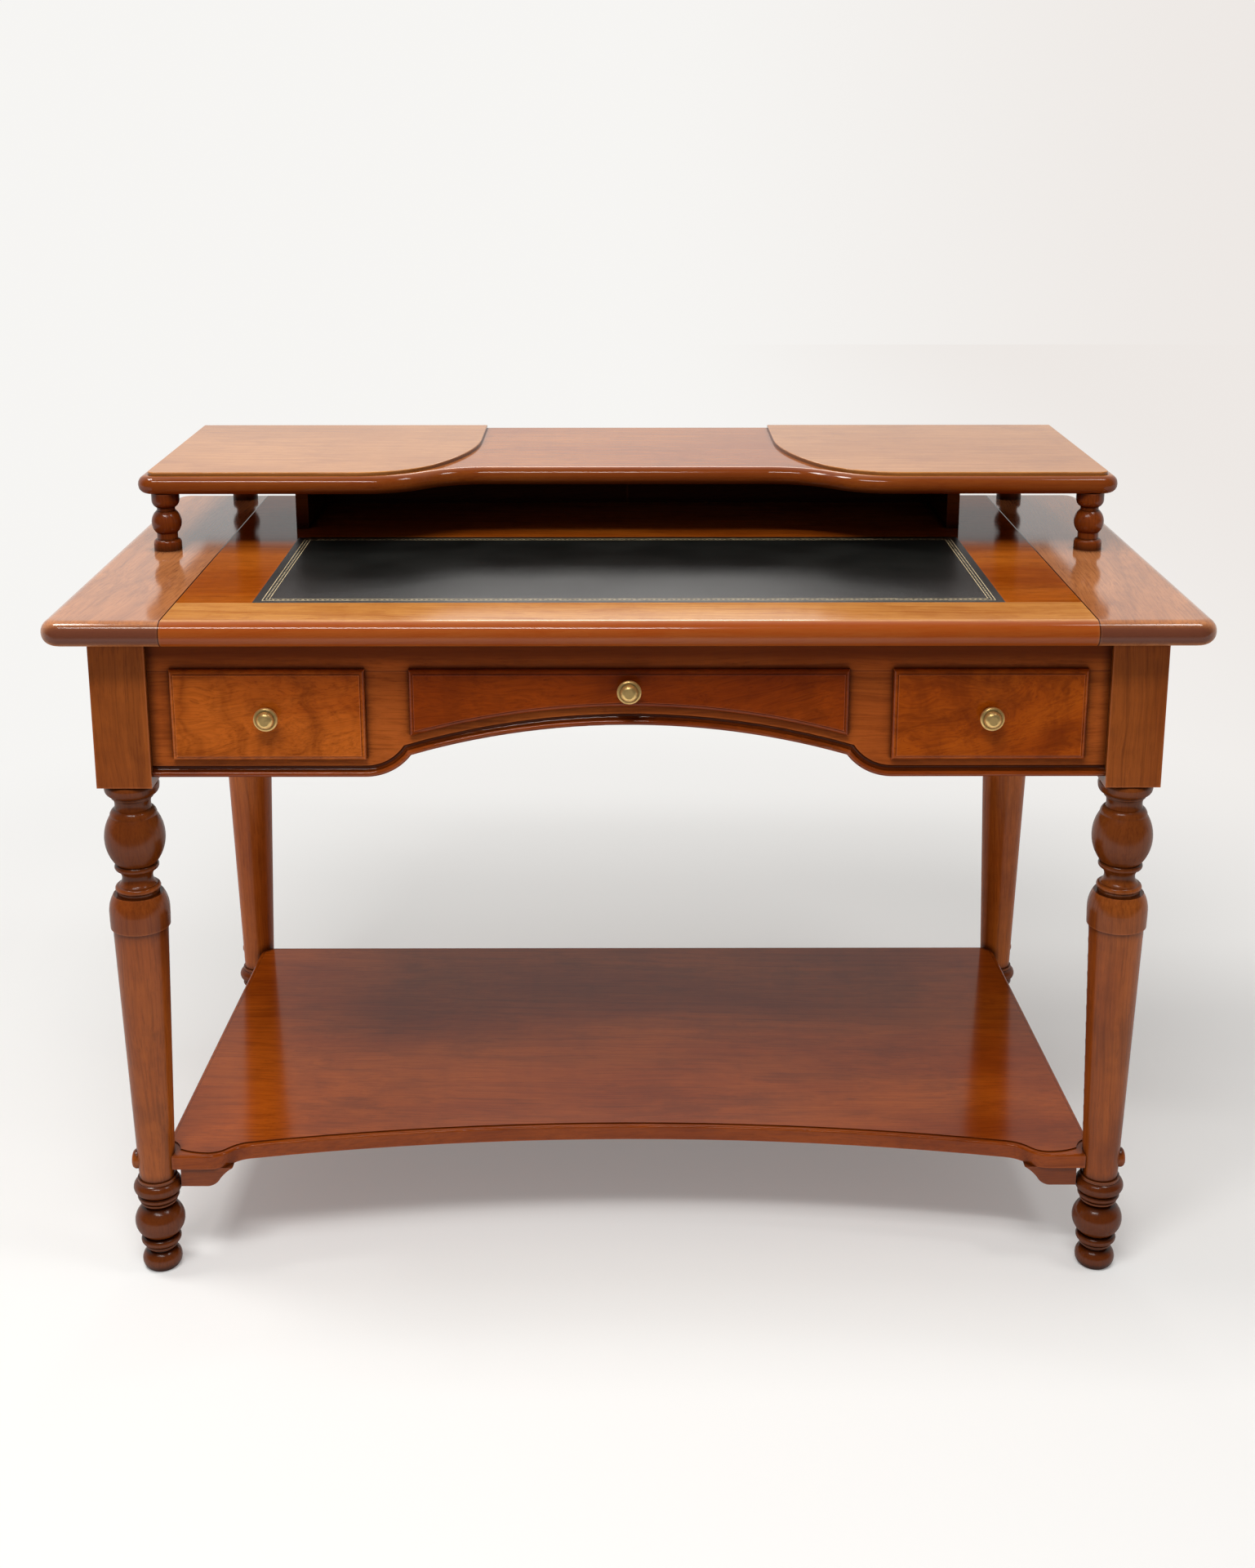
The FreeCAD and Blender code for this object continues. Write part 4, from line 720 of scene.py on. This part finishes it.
def plain_wood(name, grain):
    material, tree = new_material(name)
    parts = figure_of(tree, put(tree, "TexCoord").outputs["Object"], grain)
    colour = tint(tree, parts["Clouds"], opaque(plain_dark), opaque(plain_light))
    colour = masked(tree, parts["Rings"], plain_figure_depth, colour, opaque(plain_rings))
    colour = masked(tree, parts["Fibres"], plain_figure_depth, colour, opaque(plain_fibres))
    wear_and_light_masks = put(tree, "Group", node_tree=wear_shade_and_highlight).outputs
    # The hollows turn towards grime and painted shade.
    colour = masked(tree, wear_and_light_masks["Hollows"], plain_grime_and_shade_depth, colour, opaque(plain_grime_and_shade))
    bump = {"Height": parts["Fibres"], "Strength": plain_relief_strength,
            "Distance": plain_relief_depth}
    finish_with(tree, put(tree, "BsdfPrincipled", {
        "Base Color": colour, "Roughness": plain_roughness,
        "Normal": put(tree, "Bump", bump).outputs[0]}).outputs[0])
    return material


drawers = ("left", "centre", "right")
lengthwise = plain_wood("pale_wood_lengthwise", "Y")
crosswise = plain_wood("pale_wood_crosswise", "X")
sides = [f"{drawer}_drawer_{side}_side" for drawer in drawers for side in ("left", "right")]
dress(lengthwise, sides)
dress(lengthwise, ["left_drawer_runner", "right_drawer_runner", "left_drawer_divider",
                                "right_drawer_divider", "drawer_kickers"])
dress(crosswise, [f"{drawer}_drawer_{part}" for drawer in drawers
                               for part in ("back", "bottom")])
dress(crosswise, ["writing_panel"])
print("drawer sides dressed", len(sides))

# %% [markdown]
# ## New pieces
# The dovetails of the drawers and the gold on the leather are too fine for the solid model, so
# they are made here. Each is one mesh with one material, and it rides on the part that carries
# it, so that a drawer takes its dovetails along when it opens.

# %% Add a new piece
def add_piece(name, mesh, material, body):
    data = bpy.data.meshes.new(name)
    mesh.to_mesh(data)
    mesh.free()
    data.materials.append(material)
    piece = bpy.data.objects.new(name, data)
    bpy.context.collection.objects.link(piece)
    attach(piece, body)
    print("new piece", name, "with", len(data.polygons), "faces")


# %% [markdown]
# ## Dovetails
# Each drawer side is held to its front by dovetails, which show when the drawer is open. Between
# the pale tails of the side stand the pins of the dark front: narrow at the front and wide behind,
# with half a pin at the top and bottom. They could be a pattern in the side's material, but real
# pins keep sharp edges at any distance. A pin is one face of four points, extruded until it stands
# a tenth of a millimetre proud of the side.

# %% Pins of the drawer fronts
pin_length, pin_proud = 0.0125, 0.00012
pin_half_front, pin_half_back = 0.0022, 0.0050
tail_pitch = 0.021
pin_stain = ((0.10, 0.020, 0.004), (0.24, 0.060, 0.012), (0.32, 0.090, 0.020))


def add_pins(mesh, side_node, outward):
    low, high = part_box(side_node)
    face_x = high.x if outward > 0 else low.x
    tails = max(1, round((high.z - low.z) / tail_pitch))
    pitch = (high.z - low.z) / tails
    for number in range(tails + 1):
        middle = low.z + pitch * number
        corners = [(low.y, -pin_half_front), (low.y, pin_half_front),
                   (low.y + pin_length, pin_half_back), (low.y + pin_length, -pin_half_back)]
        points = [mesh.verts.new((face_x, y, min(max(middle + z, low.z), high.z)))
                  for y, z in corners]
        pin = bmesh.ops.extrude_face_region(mesh, geom=[mesh.faces.new(points)])
        moved = [part for part in pin["geom"] if isinstance(part, bmesh.types.BMVert)]
        bmesh.ops.translate(mesh, verts=moved, vec=(outward * pin_proud, 0, 0))


pin_wood = polished_cherry("cherry_pins", "Y", pin_stain, end_grain=0, polish=0.15)
for drawer in drawers:
    pins = bmesh.new()
    add_pins(pins, drawer + "_drawer_left_side", -1)
    add_pins(pins, drawer + "_drawer_right_side", 1)
    bmesh.ops.recalc_face_normals(pins, faces=pins.faces)
    add_piece(drawer + "_drawer_dovetails", pins, pin_wood, drawer + "_drawer")

# %% [markdown]
# ## Writing leather
# Desk leather is smooth black skiver: its grain is a net of tiny rounded cells, it is a little
# worn, and it shines softly where it mirrors the wall at a low angle. A noise would make the grain
# look like sand, so the cells are a Voronoi texture, used only as relief.

# %% Leather
grain_scale = 750
hide_scale, hide_detail, hide_limits = 9, 4, (0.35, 0.7)
leather_dark, leather_light = (0.0045, 0.005, 0.0045), (0.010, 0.0105, 0.0095)
leather_roughness, hide_roughness = 0.27, 0.1
grain_strength, grain_depth = 0.3, 0.0002

leather, tree = new_material("writing_leather_black")
place = put(tree, "TexCoord").outputs["Object"]
grain_pattern = {"Vector": place, "Scale": grain_scale}
cells = put(tree, "TexVoronoi", grain_pattern, feature="F1").outputs["Distance"]
hide_pattern = {"Vector": place, "Scale": hide_scale, "Detail": hide_detail}
hide = put(tree, "TexNoise", hide_pattern).outputs["Fac"]
colour = tint(tree, ramp(tree, hide, *hide_limits), opaque(leather_dark), opaque(leather_light))
rough = calculate(tree, "MULTIPLY_ADD", hide, hide_roughness, leather_roughness)
bump = put(tree, "Bump", {"Height": cells, "Strength": grain_strength, "Distance": grain_depth})
finish_with(tree, put(tree, "BsdfPrincipled", {
    "Base Color": colour, "Roughness": rough, "Normal": bump.outputs[0],
    "Specular IOR Level": 0.45}).outputs[0])
dress(leather, ["writing_leather"])
print("leather grain", grain_scale, "cells a metre")

# %% [markdown]
# ## Brass and steel
# The knobs are old brass, rubbed bright on the dome and brown in the groove round it. The groove
# could be picked by its faces, but the hollows of the group for wear, painted shade and painted
# highlight find it without that. The screws and bolts are plain bright steel and are seldom seen.

# %% Brass and steel
patch_scale, patch_detail, patch_limits = 160, 4, (0.45, 0.75)
patch_depth, groove_depth = 0.45, 0.95
tarnish_roughness = 0.25
metal_relief_strength, metal_relief_depth = 0.12, 0.0003


def old_metal(name, bright, tarnish, roughness, metallic):
    material, tree = new_material(name)
    place = put(tree, "TexCoord").outputs["Object"]
    patch_pattern = {"Vector": place, "Scale": patch_scale, "Detail": patch_detail}
    patches = put(tree, "TexNoise", patch_pattern).outputs["Fac"]
    wear_and_light_masks = put(tree, "Group", node_tree=wear_shade_and_highlight).outputs
    dulled = calculate(tree, "MULTIPLY", ramp(tree, patches, *patch_limits), patch_depth)
    grooves = calculate(tree, "MULTIPLY", wear_and_light_masks["Hollows"], groove_depth)
    hidden = calculate(tree, "MAXIMUM", dulled, grooves)
    colour = tint(tree, hidden, opaque(bright), opaque(tarnish))
    rough = calculate(tree, "MULTIPLY_ADD", hidden, tarnish_roughness, roughness)
    bump = {"Height": patches, "Strength": metal_relief_strength, "Distance": metal_relief_depth}
    finish_with(tree, put(tree, "BsdfPrincipled", {
        "Base Color": colour, "Metallic": metallic, "Roughness": rough,
        "Normal": put(tree, "Bump", bump).outputs[0]}).outputs[0])
    return material


brass = old_metal("old_brass", (0.84, 0.57, 0.22), (0.18, 0.10, 0.03), 0.36, 0.85)
dress(brass, [drawer + "_drawer_knob" for drawer in drawers])
steel = old_metal("bright_steel", (0.52, 0.52, 0.53), (0.2, 0.18, 0.17), 0.3, 1)
dress(steel, ["shelf_bolts", "top_screws"])
print("knobs, bolts and screws dressed")

# %% [markdown]
# ## Gold tooling
# A bookbinder's wheel presses the gold border into the leather: two fine lines with a chain of
# small lozenges between them. Lines as fine as these would blur in a texture, so they are faces a
# twentieth of a millimetre above the leather. Each line is a flat rectangle whose middle is cut
# away. The region is a face by itself, so its border counts as an edge to inset from.

# %% Gold lines
leather_low, leather_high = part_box("writing_leather")
leather_middle = (leather_low + leather_high) / 2
gold_height = 0.00005
gold_z = leather_high.z + gold_height
line_insets = (0.0085, 0.0152)
line_width = 0.0008


def half_sizes(inset):
    return ((leather_high.x - leather_low.x) / 2 - inset, (leather_high.y - leather_low.y) / 2 - inset)


def on_leather(x, y):
    return Matrix.Translation((leather_middle.x + x, leather_middle.y + y, gold_z))


def face_up(mesh):
    for face in mesh.faces:
        if face.normal.z < 0:
            face.normal_flip()


lines = bmesh.new()
for inset in line_insets:
    size = Matrix.Diagonal((*half_sizes(inset), 1, 1))
    made = bmesh.ops.create_grid(lines, x_segments=1, y_segments=1, size=1,
                                 matrix=on_leather(0, 0) @ size)
    face = made["verts"][0].link_faces[0]
    bmesh.ops.inset_region(lines, faces=[face], thickness=line_width, use_boundary=True,
                           use_even_offset=True)
    bmesh.ops.delete(lines, geom=[face], context="FACES")
bmesh.ops.recalc_face_normals(lines, faces=lines.faces)
face_up(lines)
print("line faces", len(lines.faces))

# %% [markdown]
# The chain is one six-sided link, repeated at an even pitch along the four sides. An array modifier
# would need a piece for each side, and a loop puts all the links into one.

# %% Gold chain
chain_inset = 0.0124
link_pitch = 0.0052
link_half_length, link_half_width = 0.0017, 0.0008
link_sides = 6
link_shape = Matrix.Diagonal((link_half_length, link_half_width, 1, 1))
quarter_turn = Matrix.Rotation(math.radians(90), 4, "Z")

chain = bmesh.new()
half_x, half_y = half_sizes(chain_inset)
for lengthways, half_length, half_gap in ((True, half_x, half_y), (False, half_y, half_x)):
    for number in range(int(2 * half_length / link_pitch)):
        step = -half_length + link_pitch * (number + 0.5)
        for side in (-1, 1):
            if lengthways:
                place = on_leather(step, side * half_gap)
            else:
                place = on_leather(side * half_gap, step) @ quarter_turn
            bmesh.ops.create_circle(chain, cap_ends=True, segments=link_sides, radius=1,
                                    matrix=place @ link_shape)
face_up(chain)
print("links", len(chain.faces))

# %% [markdown]
# Gold leaf on old leather is rubbed thin in places, so its colour is a noise between bright gold
# and brown. It is only slightly metallic: a true mirror this thin would flicker between white and
# black.

# %% Gold leaf
gold_bright, gold_rubbed = (0.76, 0.61, 0.35), (0.34, 0.26, 0.14)
rub_scale, rub_detail, rub_limits = 130, 3, (0.4, 0.75)

gold, tree = new_material("tooling_gold")
place = put(tree, "TexCoord").outputs["Object"]
rub_pattern = {"Vector": place, "Scale": rub_scale, "Detail": rub_detail}
rubbing = put(tree, "TexNoise", rub_pattern).outputs["Fac"]
colour = tint(tree, ramp(tree, rubbing, *rub_limits), opaque(gold_bright), opaque(gold_rubbed))
finish_with(tree, put(tree, "BsdfPrincipled", {
    "Base Color": colour, "Metallic": 0.15, "Roughness": 0.45}).outputs[0])
add_piece("leather_gold_lines", lines, gold, "desk")
add_piece("leather_gold_chain", chain, gold, "desk")
